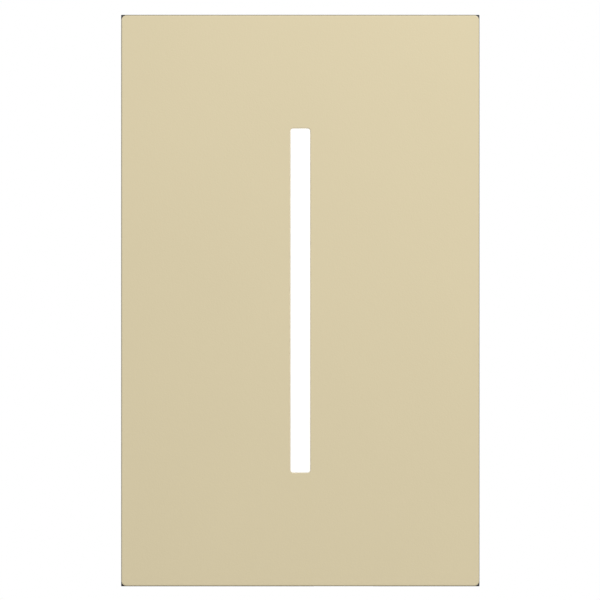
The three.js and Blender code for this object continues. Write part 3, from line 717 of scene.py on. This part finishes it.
def ground_tab():
    """The bent tab for the grounding screw: a drilled tongue that stands across X."""
    z = centre("ground_screw").z
    tongue = extruded(rounded(9.4, 8, 1, 4.3, z), 0, -19.5, -18)
    hole = placed(turned([(1.8, -4), (1.8, 4)]), (-18.75, 5, z), (1, 0, 0))
    return eased(cut(tongue, hole), 0.1, 50)


# ---- Screws, along +Y from the head's top


def thread(radius, start, end, pitch, depth):
    """Rings of a helical thread that fades in at its start and out at its end."""
    per_turn = 6
    count = int((end - start) / pitch * per_turn)
    rings = []
    for index in range(count + 1):
        y = start + (end - start) * index / count
        fade = min(1, index / per_turn, (count - index) / per_turn)
        outline = []
        for side in range(ROUND_SIDES):
            phase = (y / pitch - side / ROUND_SIDES) % 1
            reach = radius - depth * abs(2 * phase - 1) * fade
            angle = 2 * math.pi * side / ROUND_SIDES
            outline.append((reach * math.cos(angle), reach * math.sin(angle)))
        rings.append((outline, y))
    return rings


def screw(head, shank, length, form, plain):
    """A head from (radius, y) points, a plain neck, a thread of form (pitch, depth) and a tapered tip."""
    neck = head[-1][1]
    tip = [(0.78, length - shank * 0.4), (0.5, length - 0.02), (0.3, length)]
    rings = [(circle(radius), y) for radius, y in [*head, (shank, neck + 0.02)]]
    rings += thread(shank, neck + plain + 0.1, length - shank * 0.8, *form)
    rings += [(circle(shank * share), y) for share, y in tip]
    return loft(rings)


def pan_head(radius, height):
    """A domed head with a short straight flank."""
    dome = []
    for step in range(3, 9):
        angle = math.pi / 2 * step / 8
        dome.append((radius * math.sin(angle), height * 0.62 * (1 - math.cos(angle))))
    return [(radius * 0.3, 0), *dome, (radius, height * 0.9), (radius * 0.97, height)]


def drive(radius, depth, width):
    """Cutters for a combination drive: a straight slot and a tapered cross."""
    cutters = [brick((-width / 2, width / 2), (-1, depth * 0.75), (-radius * 1.2, radius * 1.2))]
    long, short = radius * 1.24, width * 1.1
    for swap in (1, -1):
        sizes = [(long, short, -1), (long, short, 0), (long * 0.45, short * 0.6, depth * 1.5)]
        cutters.append(loft([(rounded(*(a, b)[::swap], 0.1, steps=2), y) for a, b, y in sizes]))
    return cutters


def driven_screw(radius, height, depth, width, *body):
    """A pan-head screw with a combination drive of a depth and width, and a body as screw() takes it."""
    return cut(screw(pan_head(radius, height), *body), *drive(radius, depth, width))


def fit_screw(node, mesh, direction):
    """Shows a copy of a screw that points in a direction, with its head's top at its node's near side."""
    low, high = box(node)
    direction = Vector(direction)
    top = [low[axis] if direction[axis] > 0 else high[axis] for axis in range(3)]
    at = [top[axis] if direction[axis] else (low[axis] + high[axis]) / 2 for axis in range(3)]
    show(f"{node}_threaded", placed(mesh.copy(), at, direction), node)


def screws():
    flat_head = [(1, 0), (3.22, 0), (3.3, 0.1), (3.3, 0.35), (SHANK_6_32, 1.9)]
    plate_screw = screw(flat_head, SHANK_6_32, 8, THREAD_6_32, 0.6)
    plate_screw = cut(plate_screw, brick((-0.45, 0.45), (-1, 0.9), (-4, 4)))
    box_screw = driven_screw(3.3, 1.95, 1, 0.9, SHANK_6_32, 20.95, THREAD_6_32, 1.5)
    housing_screw = driven_screw(2.6, 1.9, 1, 0.7, SHANK_M3, 30.3, THREAD_M3, 20)
    triac_screw = driven_screw(2.6, 1.8, 0.9, 0.7, SHANK_M3, 4.9, THREAD_M3, 0.3)
    terminal_screw = driven_screw(3.7, 1.9, 1, 1, SHANK_6_32, 6.1, THREAD_6_32, 0.3)
    for at in ("upper", "lower"):
        fit_screw(f"adapter_screw_{at}", plate_screw, (0, 1, 0))
        fit_screw(f"box_screw_{at}", box_screw, (0, 1, 0))
    for number in range(1, 5):
        fit_screw(f"housing_screw_{number}", housing_screw, (0, -1, 0))
    fit_screw("triac_screw", triac_screw, (0, -1, 0))
    for name, at in TERMINALS.items():
        fit_screw(f"{name}_terminal_screw", terminal_screw, (-math.copysign(1, at.x), 0, 0))
    fit_screw("ground_screw", ground_screw(), (1, 0, 0))


def ground_screw():
    """A slotted hexagon head with crowned corners on a washer face."""
    washer = [(3.55, 1.6), (3.6, 1.7), (3.6, 2.15), (3.5, 2.2)]
    body = screw(washer, SHANK_6_32, 8.4, THREAD_6_32, 0.3)
    hexagon = extruded(circle(3, sides=6), 1, 0, 1.8)
    crown = turned([(2.45, 0), (2.6, 0.12), (3.1, 0.5), (3.1, 1.8)])
    head = combined("INTERSECT", hexagon, [crown])
    return cut(joined(body, head), brick((-0.5, 0.5), (-1, 1), (-4, 4)))


# ---- Housing, terminals and label


def wire_pocket(at, block):
    """The wall round a terminal's wire pocket, and cutters for the pocket, the screw and the plate."""
    side = math.copysign(1, at.x)
    wall = POCKET_HALF + POCKET_WALL
    jacket = brick((side * 14.9, side * 30), (POCKET_FRONT - POCKET_WALL, 40), (at.z - wall, at.z + wall))
    span = (at.z - POCKET_HALF, at.z + POCKET_HALF)
    cutters = [
        brick((side * POCKET_FLOOR, side * 40), (POCKET_FRONT, 60), span),
        placed(turned([(2.1, -5), (2.1, 5)]), (side * 14, 14, at.z), (1, 0, 0)),
        brick((side * 13, side * 18), (18.75, 20.75), (at.z - 2.7, at.z + 2.7)),
    ]
    return combined("INTERSECT", block, [jacket]), cutters


def housing():
    """The rear housing: a cup with wire pockets, screw wells, a label seat and a strip gauge."""
    low, high = box("rear_housing")
    front, back = low.y, high.y
    outer = (high.x - low.x, high.z - low.z, 3)
    cavity = (outer[0] - 2 * HOUSING_WALL, outer[1] - 2 * HOUSING_WALL, 1.2)
    floor = back - HOUSING_WALL
    cup = shell(
        (cavity, [(-0.6, floor), (-0.18, floor - 0.18), (0, floor - 0.6), (0, front + 0.15), (0.15, front)]),
        (outer, [(-0.2, front), (0, front + 0.2)]),
        (outer, arc((0, front), (0, back), (-1, back), 0.8, 5)),
        closed=False,
    )
    block = loft(rounded_rings(outer, [(0, front + 1), (0, back - 0.8), (-0.8, back)]))
    extras = [turned([(3.2, front + 0.05), (3.2, back - 1)], at.x, at.z) for at in HOUSING_SCREWS]
    cuts = []
    for at in TERMINALS.values():
        jacket, cutters = wire_pocket(at, block)
        extras.append(jacket)
        cuts += cutters
    well = [(3.6, 0.6), (3.3, 0), (3, -0.35), (3, -2.2), (1.7, -2.2), (1.7, -40)]
    for at in HOUSING_SCREWS:
        cuts.append(turned(well, at.x, at.z, base=back))
    seat = [(0.5, 0.3), (0.12, 0), (0, -0.12), (0, -0.4)]
    cuts.append(loft(rounded_rings((26, 40, 1), seat, back)))
    gauge = [(0.3, 0.2), (0, -0.05), (-0.08, -0.5)]
    cuts.append(loft(rounded_rings((10, 1, 0.15), gauge, back, x=-9, z=-32.7)))
    show("housing_shell", eased(cut(joined(cup, *extras), *cuts), 0.12, 50), "rear_housing")


def terminal_plates():
    """Stamped brass plates with four ridges that bite on the wire under the screw."""
    for name, at in TERMINALS.items():
        node = f"{name}_terminal_plate"
        side = math.copysign(1, at.x)
        face = max(abs(corner.x) for corner in box(node))
        ridges = []
        for y in (at.y - 2.9, at.y - 2.2, at.y + 2.2, at.y + 2.9):
            across = (side * (face - 0.3), side * (face + 0.14))
            ridges.append(brick(across, (y - 0.15, y + 0.15), (at.z - 3.4, at.z + 3.4)))
        show(f"{node}_stamped", eased(joined(cad_mesh(node), *ridges), 0.07, 50), node)


def label():
    """A blank foil label with a fine raised border."""
    low, high = box("rating_label")
    size = (high.x - low.x, high.z - low.z, 0.8)
    back = high.y - 0.03
    foil = slab(size, low.y, back, 0.04)
    border = [(-1.2, back - 0.02), (-1.2, high.y), (-1.6, high.y), (-1.6, back - 0.02)]
    show("rating_label_foil", joined(foil, shell((size, border))), "rating_label")


def retainers():
    """Card washers whose slit hole grips the box screw's thread."""
    for at in ("upper", "lower"):
        node = f"screw_retainer_{at}"
        low, high, middle = extent(node)
        card = slab((high.x - low.x, high.z - low.z, 1), low.y, high.y, 0.08, x=middle.x, z=middle.z)
        hole = turned([(1.85, low.y - 1), (1.85, high.y + 1)], middle.x, middle.z)
        slits = crossed_slits(middle, 2.8, (low.y - 1, high.y + 1))
        show(f"{node}_card", cut(card, hole, *slits), node)


# ---- Electronics


def bent_leads(offsets, inner, outer, shoulder, foot, width, across):
    """Two rows of flat leads that leave a chip's sides at the shoulder and bend to the foot.

    The offsets run along X and the rows face along Z, or the other way round when across is true.
    """
    thick = math.copysign(0.22, foot - shoulder)
    leads = []
    for side in SIDES:
        front = [(shoulder, inner), (shoulder, outer - 0.12), (shoulder + thick / 2, outer), (foot, outer)]
        back = [(foot, outer - 0.22), (shoulder + thick, outer - 0.22), (shoulder + thick, inner)]
        profile, axis = [(y, side * z) for y, z in front + back], 0
        if across:
            profile, axis = [(z, y) for y, z in profile], 2
        leads += [extruded(profile, axis, offset - width / 2, offset + width / 2) for offset in offsets]
    return leads


def microcontroller():
    """A square chip with leads on all four sides and a dimple at its first pin."""
    low, high, at = extent("microcontroller")
    body = slab((7, 7, 0.4), low.y + 0.15, high.y, 0.12, x=at.x, z=at.z)
    dimple = turned([(0.45, high.y - 0.1), (0.5, high.y + 0.3)], at.x - 2.6, at.z + 2.6)
    show("microcontroller_body", cut(body, dimple), "microcontroller")
    offsets = [0.8 * (index - 3) for index in range(7)]
    rows = [bent_leads(offsets, 3.3, 3.9, 0.55, 0, 0.36, across) for across in (False, True)]
    leads = placed(merged([*rows[0], *rows[1]]), (at.x, low.y, at.z))
    show("microcontroller_leads", leads, "microcontroller", "plated_steel")


def gate_driver():
    """A six-pin optocoupler with a notched end."""
    low, high, at = extent("gate_driver")
    body = slab((8.6, 6.4, 0.3), low.y, high.y - 0.3, 0.2, x=at.x, z=at.z)
    notch = turned([(0.9, low.y - 1), (0.9, low.y + 0.25)], at.x - 4.3, at.z)
    dot = turned([(0.5, low.y - 1), (0.45, low.y + 0.12)], at.x - 3.1, at.z - 2)
    show("gate_driver_body", cut(body, notch, dot), "gate_driver")
    leads = bent_leads(PITCH_ROW, 3, 4.1, low.y + 1.6, high.y, 0.6, False)
    show("gate_driver_leads", placed(merged(leads), (at.x, 0, at.z)), "gate_driver", "plated_steel")


def leds():
    """Surface-mount LEDs: a white cup with a domed window and plated ends."""
    for number in range(1, LED_COUNT + 1):
        node = f"bar_led_{number}"
        low, high = box(node)
        z = (low.z + high.z) / 2
        cup = slab((2.8, 3.1, 0.3), low.y + 0.15, high.y, 0.06, z=z)
        dome = turned([(1.2, low.y + 0.3), (1.15, low.y + 0.13), (0.85, low.y + 0.04), (0.4, low.y)], 0, z)
        show(f"{node}_body", joined(cup, dome), node)
        ends = [slab((2.3, 0.35, 0.08), low.y + 0.35, high.y, 0.04, z=z + side * 1.57) for side in SIDES]
        show(f"{node}_ends", merged(ends), node, "plated_steel")


def triac():
    """A power switch: chamfered metal tab, drafted epoxy body and three bent leads."""
    low, high = box("triac")
    x, hole_z = TRIAC_HOLE.x, TRIAC_HOLE.z
    body_low = hole_z - 12
    size = (high.x - low.x, 9.2, 0.3)
    middle_z = body_low + size[1] / 2
    draft = [(-0.5, 0), (-0.15, 0.12), (0, 1.6), (-0.3, 4.3), (-0.5, 4.5)]
    body = loft(rounded_rings(size, draft, low.y, x=x, z=middle_z))
    mark = [(0.9, 4.4), (0.95, 5)]
    marks = [turned(mark, x + side * 3.2, middle_z + 2.6, base=low.y) for side in SIDES]
    show("triac_body", cut(body, *marks), "triac")
    top = hole_z + 3.2
    half = [(5, body_low + 3), (5, top - 1), (4, top)]
    outline = [(x + wide, z) for wide, z in half] + [(x - wide, z) for wide, z in reversed(half)]
    tab = cut(extruded(outline, 1, low.y + 0.02, low.y + 1.3), turned([(1.8, -5), (1.8, 5)], x, hole_z))
    show("triac_tab", eased(tab, 0.08, 30), "triac", "plated_steel")
    under, over = TRIAC_FOOT_SPAN
    bent = [(2.6, body_low + 0.3), (2.6, under + 0.3), (2.9, under), (high.y, under)]
    bent += [(high.y, over), (3.2, over), (3.2, body_low + 0.3)]
    leads = [extruded(bent, 0, x + offset - 0.35, x + offset + 0.35) for offset in PITCH_ROW]
    show("triac_leads", eased(merged(leads), 0.06), "triac", "plated_steel")


def choke():
    """A coated ring core and its single layer of enamelled wire."""
    low, high, at = extent("choke_core")
    inner, outer, half = 4.8, (high.x - low.x) / 2, (high.y - low.y) / 2
    middle, reach = (inner + outer) / 2, (outer - inner) / 2
    section = rounded(outer - inner, 2 * half, 1.1, middle, at.y, steps=5)
    ring = loft([(circle(radius, at.x, at.z, 64), y) for radius, y in section], closed=True)
    show("choke_ring", ring, "choke_core")

    turns, per_turn, clear = 13, 16, 0.8
    sweep = math.radians(330)

    def square(value):
        """Flattens a sine towards a rounded square's side."""
        return math.copysign(abs(value) ** 0.6, value)

    coil = []
    for index in range(turns * per_turn + 1):
        phase = 2 * math.pi * index / per_turn
        around = sweep * index / (turns * per_turn)
        radius = middle + (reach + clear) * square(math.cos(phase))
        y = at.y - (half + clear) * square(math.sin(phase))
        coil.append((at.x + radius * math.cos(around), y, at.z + radius * math.sin(around)))

    def beside(end, y):
        """A point a little further out than the coil's end, at another depth."""
        return (at.x + (end[0] - at.x) * 1.03, y, at.z + (end[2] - at.z) * 1.03)

    rise = [beside(coil[0], y) for y in (BOARD_FRONT - 0.1, BOARD_FRONT - 2, at.y + 2)]
    fall = [beside(coil[-1], y) for y in (BOARD_FRONT - 1.9, BOARD_FRONT - 1, BOARD_FRONT - 0.1)]
    show("choke_wire", wire([*rise, *coil[:-2], *fall], 0.42), "choke_winding")


def film_capacitor():
    """A moulded case with a recessed face and four feet."""
    low, high, at = extent("film_capacitor")
    size = (high.x - low.x, high.z - low.z, 0.6)
    case = slab(size, low.y, high.y - 0.3, 0.45, x=at.x, z=at.z)
    recess = [(-1.3, low.y - 1), (-1.3, low.y), (-1.45, low.y + 0.15)]
    panel = loft(rounded_rings(size, recess, x=at.x, z=at.z))
    feet = [
        slab((1.8, 1.8, 0.3), high.y - 1, high.y, 0.1, x=at.x + side * 7.4, z=at.z + row * 3)
        for side in SIDES for row in SIDES
    ]
    show("film_capacitor_case", joined(cut(case, panel), *feet), "film_capacitor")


def electrolytic_capacitor():
    """An aluminium can in a shrunk sleeve, crimped near its base and scored across its top."""
    low, high, at = extent("electrolytic_capacitor")
    radius, top, base = (high.x - low.x) / 2, low.y, high.y
    rolled = base - 1.5
    rim = [(0.75, top + 0.6), (0.75, top + 0.1), (0.5, top), (0.15, top + 0.12), (0, top + 0.5)]
    dip = [(0, -0.6), (0.25, -0.25), (0.35, 0), (0.25, 0.25), (0, 0.6)]
    groove = [(inset, rolled + y) for inset, y in dip]
    foot = [(0, base - 0.3), (0.3, base)]
    sleeve = [(radius - inset, y) for inset, y in [*rim, *groove, *foot]]
    show("electrolytic_sleeve", turned(sleeve, at.x, at.z, 48), "electrolytic_capacitor")
    lid = [(radius - 0.9, top + 0.2), (radius - 0.78, top + 0.3), (radius - 0.78, top + 0.7)]
    vents = crossed_slits(at, 2.6, (top - 1, top + 0.32))
    lid = cut(turned(lid, at.x, at.z, 48), *vents)
    show("electrolytic_top", lid, "electrolytic_capacitor", "yoke_aluminium")


def fuse():
    """A round radial fuse with a moulded ring round its top."""
    low, high, at = extent("fuse")
    radius, top = (high.x - low.x) / 2, low.y
    dimple = [(radius * 0.6, top + 0.25), (radius * 0.66, top)]
    crown = [(radius - 0.5, top), (radius - 0.1, top + 0.15), (radius, top + 0.5)]
    skirt = [(radius, high.y - 1.6), (radius - 0.2, high.y - 1.4), (radius - 0.2, high.y - 0.2)]
    profile = [*dimple, *crown, *skirt, (radius - 0.4, high.y)]
    show("fuse_case", turned(profile, at.x, at.z, 48), "fuse")


def varistor():
    """A dipped disc whose coating runs down on to its two legs."""
    low, high, at = extent("varistor")
    radius, half = (high.x - low.x) / 2, (high.z - low.z) / 2
    crown = [(0.2, 1), (0.55, 0.98), (0.85, 0.82), (0.96, 0.5), (1, 0)]
    profile = [(radius * wide, -half * deep) for wide, deep in crown]
    profile += [(radius * wide, half * deep) for wide, deep in crown[-2::-1]]
    disc_y = low.y + radius
    disc = placed(turned(profile, sides=48), (at.x, disc_y, at.z), (0, 0, 1))
    foot = [(1.3, 2.4), (0.8, 4), (0.5, 4.8), (0.34, 5.2), (0.34, high.y - disc_y)]
    reach = LEG_REACH["varistor"]
    runs = [turned(foot, at.x + side * reach, at.z, 20, disc_y) for side in SIDES]
    show("varistor_disc", joined(disc, *runs), "varistor")


def bleed_resistor():
    """A dog-bone resistor body along Z with its wire leads bent down to the board."""
    low, high, at = extent("bleed_resistor")
    radius = (high.x - low.x) / 2
    x, y, z = at.x, low.y + radius, at.z
    half = [(0.35, 4.6), (0.8, 4.55), (0.97, 4.2), (1, 3.6), (0.95, 2.9), (0.86, 2.5)]
    profile = [(radius * wide, -long) for wide, long in half]
    profile += [(radius * wide, long) for wide, long in reversed(half)]
    show("bleed_resistor_body", placed(turned(profile), (x, y, z), (0, 0, 1)), "bleed_resistor")
    leads = []
    for side in SIDES:
        end = z + side * RESISTOR_LEG
        path = [(x, y, z + side * 4.4), (x, y, z + side * 5.2), (x, y, end)]
        path += [(x, y + 0.6, end), (x, high.y, end)]
        leads.append(wire(path, 0.32))
    show("bleed_resistor_leads", merged(leads), "bleed_resistor", "plated_steel")


def header():
    """A four-way pin header: a notched carrier and square pins with pointed ends."""
    low, high = box("board_header")
    carrier = brick((low.x, high.x), HEADER_SPAN, (HEADER_Z - HEADER_HALF, HEADER_Z + HEADER_HALF))
    notches = []
    for x in PITCH_ROW:
        for side in SIDES:
            edge = HEADER_Z + side * HEADER_HALF
            outline = [(x - 0.4, edge + side * 0.01), (x + 0.4, edge + side * 0.01), (x, edge - side * 0.4)]
            notches.append(extruded(outline, 1, 21, 25))
    show("board_header_carrier", eased(cut(carrier, *notches), 0.08, 30), "board_header")
    pin = [(-0.2, low.y), (0, low.y + 0.5), (0, high.y - 0.5), (-0.2, high.y)]
    pins = [loft(rounded_rings((0.64, 0.64, 0.06), pin, x=x, z=HEADER_Z, steps=2)) for x in HEADER_PINS]
    show("board_header_pins", merged(pins), "board_header", "brass")


def solder_joints():
    """Solder cones on the back of the power board, one for each lead through it."""
    resistor, driver = centre("bleed_resistor"), centre("gate_driver")
    sites = [(x, HEADER_Z) for x in HEADER_PINS]
    for node, reach in LEG_REACH.items():
        at = centre(node)
        sites += [(at.x + side * reach, at.z) for side in SIDES]
    sites += [(resistor.x, resistor.z + side * RESISTOR_LEG) for side in SIDES]
    sites += [(TRIAC_HOLE.x + offset, sum(TRIAC_FOOT_SPAN) / 2) for offset in PITCH_ROW]
    sites += [(driver.x + offset, driver.z + side * 4) for offset in PITCH_ROW for side in SIDES]
    sites += [(math.copysign(TERMINAL_LEG, at.x), at.z) for at in TERMINALS.values()]
    sites.append((centre("fixed_contact").x, FIXED_CONTACT_LEG))
    cone = [(0.95, -0.02), (0.9, 0.05), (0.55, 0.22), (0.36, 0.5), (0.3, 0.8), (0.12, 0.86)]
    cones = [turned(cone, x, z, 16, BOARD_BACK) for x, z in sites]
    show("power_board_solder", merged(cones), "power_board", "plated_steel")


def lever_pin():
    low, high, at = extent("lever_pin")
    radius, half = (high.y - low.y) / 2, (high.x - low.x) / 2
    end = [(0.35, 0), (0.75, 0.06), (0.95, 0.18), (1, 0.35)]
    profile = [(radius * wide, in_by - half) for wide, in_by in end]
    profile += [(radius * wide, half - in_by) for wide, in_by in reversed(end)]
    show("lever_pin_turned", placed(turned(profile), at, (1, 0, 0)), "lever_pin")


def eased_pieces():
    """Pieces whose CAD shape is right as it is, apart from how far their edges are rounded."""
    widths = {
        "service_tab": 0.15,
        "contact_lever": 0.12,
        "moving_contact": 0.04,
        "switch_bracket": 0.1,
        "fixed_contact": 0.06,
        "light_guide": 0.1,
        "led_reflector": 0.1,
        "control_board": 0.03,
        "power_board": 0.05,
        "sensor_connector": 0.1,
        "triac_pad": 0.03,
        "touch_sensor_film": 0.02,
    }
    for node, width in widths.items():
        show(f"{node}_eased", eased(cad_mesh(node), width), node)


# ---- Camera, lights and surroundings, in metres

VIEW_WIDTH = 0.12528
VIEW_CENTRE = (-0.00006, 0.00012)
CAMERA_DISTANCE = 5
SENSOR_WIDTH = 36
AMBIENT = 0.48
FLOOR_GLOW = 0.46
FLOOR_GAP = 0.0085
FLOOR_RADIUS = 0.3


def camera():
    data = bpy.data.cameras.new("camera")
    data.sensor_width = SENSOR_WIDTH
    data.lens = SENSOR_WIDTH * CAMERA_DISTANCE / VIEW_WIDTH
    data.clip_end = 20
    holder = added("camera", data)
    x, z = VIEW_CENTRE
    holder.location = (x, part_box("wallplate")[0].y - CAMERA_DISTANCE, z)
    holder.rotation_euler = (math.pi / 2, 0, 0)
    bpy.context.scene.camera = holder


def area_light(name, location, size, power):
    """A square light that faces the part."""
    data = bpy.data.lights.new(name, "AREA")
    data.size = size
    data.energy = power
    holder = added(name, data)
    holder.location = location
    holder.rotation_euler = (-Vector(location)).to_track_quat("-Z", "Y").to_euler()


def lights():
    area_light("key", (0.16, -0.5, 0.3), 0.25, 2.0)
    area_light("rear", (0.5, 1.1, 0.6), 0.8, 6)
    area_light("rear_left", (-0.9, 0.7, 0.2), 0.8, 3)


def surroundings():
    """White to the eye, and a softer grey as a light on the part."""
    world = bpy.data.worlds.new("surroundings")
    world.use_nodes = True
    bpy.context.scene.world = world
    tree = world.node_tree
    seen = tree.nodes["Background"]
    seen.inputs["Color"].default_value = (1, 1, 1, 1)
    lighting = tree.nodes.new("ShaderNodeBackground")
    lighting.inputs["Color"].default_value = (1, 1, 1, 1)
    lighting.inputs["Strength"].default_value = AMBIENT
    path = tree.nodes.new("ShaderNodeLightPath")
    mix = tree.nodes.new("ShaderNodeMixShader")
    tree.links.new(path.outputs["Is Camera Ray"], mix.inputs["Fac"])
    tree.links.new(lighting.outputs[0], mix.inputs[1])
    tree.links.new(seen.outputs[0], mix.inputs[2])
    tree.links.new(mix.outputs[0], tree.nodes["World Output"].inputs["Surface"])


def floor_material():
    """Pale and matt, and it fades into the white surroundings towards its rim."""
    shader = Shader("floor", (0.6, 0.6, 0.6), 0.9)
    shader.set("Emission Color", (1, 1, 1, 1))
    shader.set("Emission Strength", FLOOR_GLOW)
    shader.tint(shader.noise(8, 2), 0.01)
    distance = shader.add("ShaderNodeVectorMath", {0: shader.place}, operation="LENGTH").outputs["Value"]
    limits = {"Value": distance, "From Min": FLOOR_RADIUS * 0.3, "From Max": FLOOR_RADIUS * 0.95}
    fade = shader.add("ShaderNodeMapRange", limits, interpolation_type="SMOOTHERSTEP").outputs["Result"]
    clear = shader.tree.nodes.new("ShaderNodeBsdfTransparent").outputs[0]
    mix = shader.add("ShaderNodeMixShader", {0: fade, 1: shader.principled.outputs[0], 2: clear})
    shader.tree.links.new(mix.outputs[0], shader.tree.nodes["Material Output"].inputs["Surface"])
    return shader.material


def floor():
    """A pale disc below the part, out of the straight-on view. It throws no light up on to the part."""
    shape = bmesh.new()
    rim = [shape.verts.new((x, y, 0)) for x, y in circle(FLOOR_RADIUS, sides=64)]
    shape.faces.new(rim)
    mesh = as_mesh(shape)
    mesh.materials.append(floor_material())
    holder = added("floor", mesh)
    holder.location = (0, 0, CAD_BOX[0].z - FLOOR_GAP)
    holder.visible_diffuse = False


# ---- The whole scene

camera()
for make in (
    wallplate, light_bar, adapter, bezel, yoke, screws, housing, terminal_plates, label, retainers,
    microcontroller, gate_driver, leds, triac, choke, film_capacitor, electrolytic_capacitor, fuse, varistor,
    bleed_resistor, header, solder_joints, lever_pin, eased_pieces,
):
    make()
lights()
surroundings()
floor()
bpy.context.scene.view_settings.view_transform = "Standard"
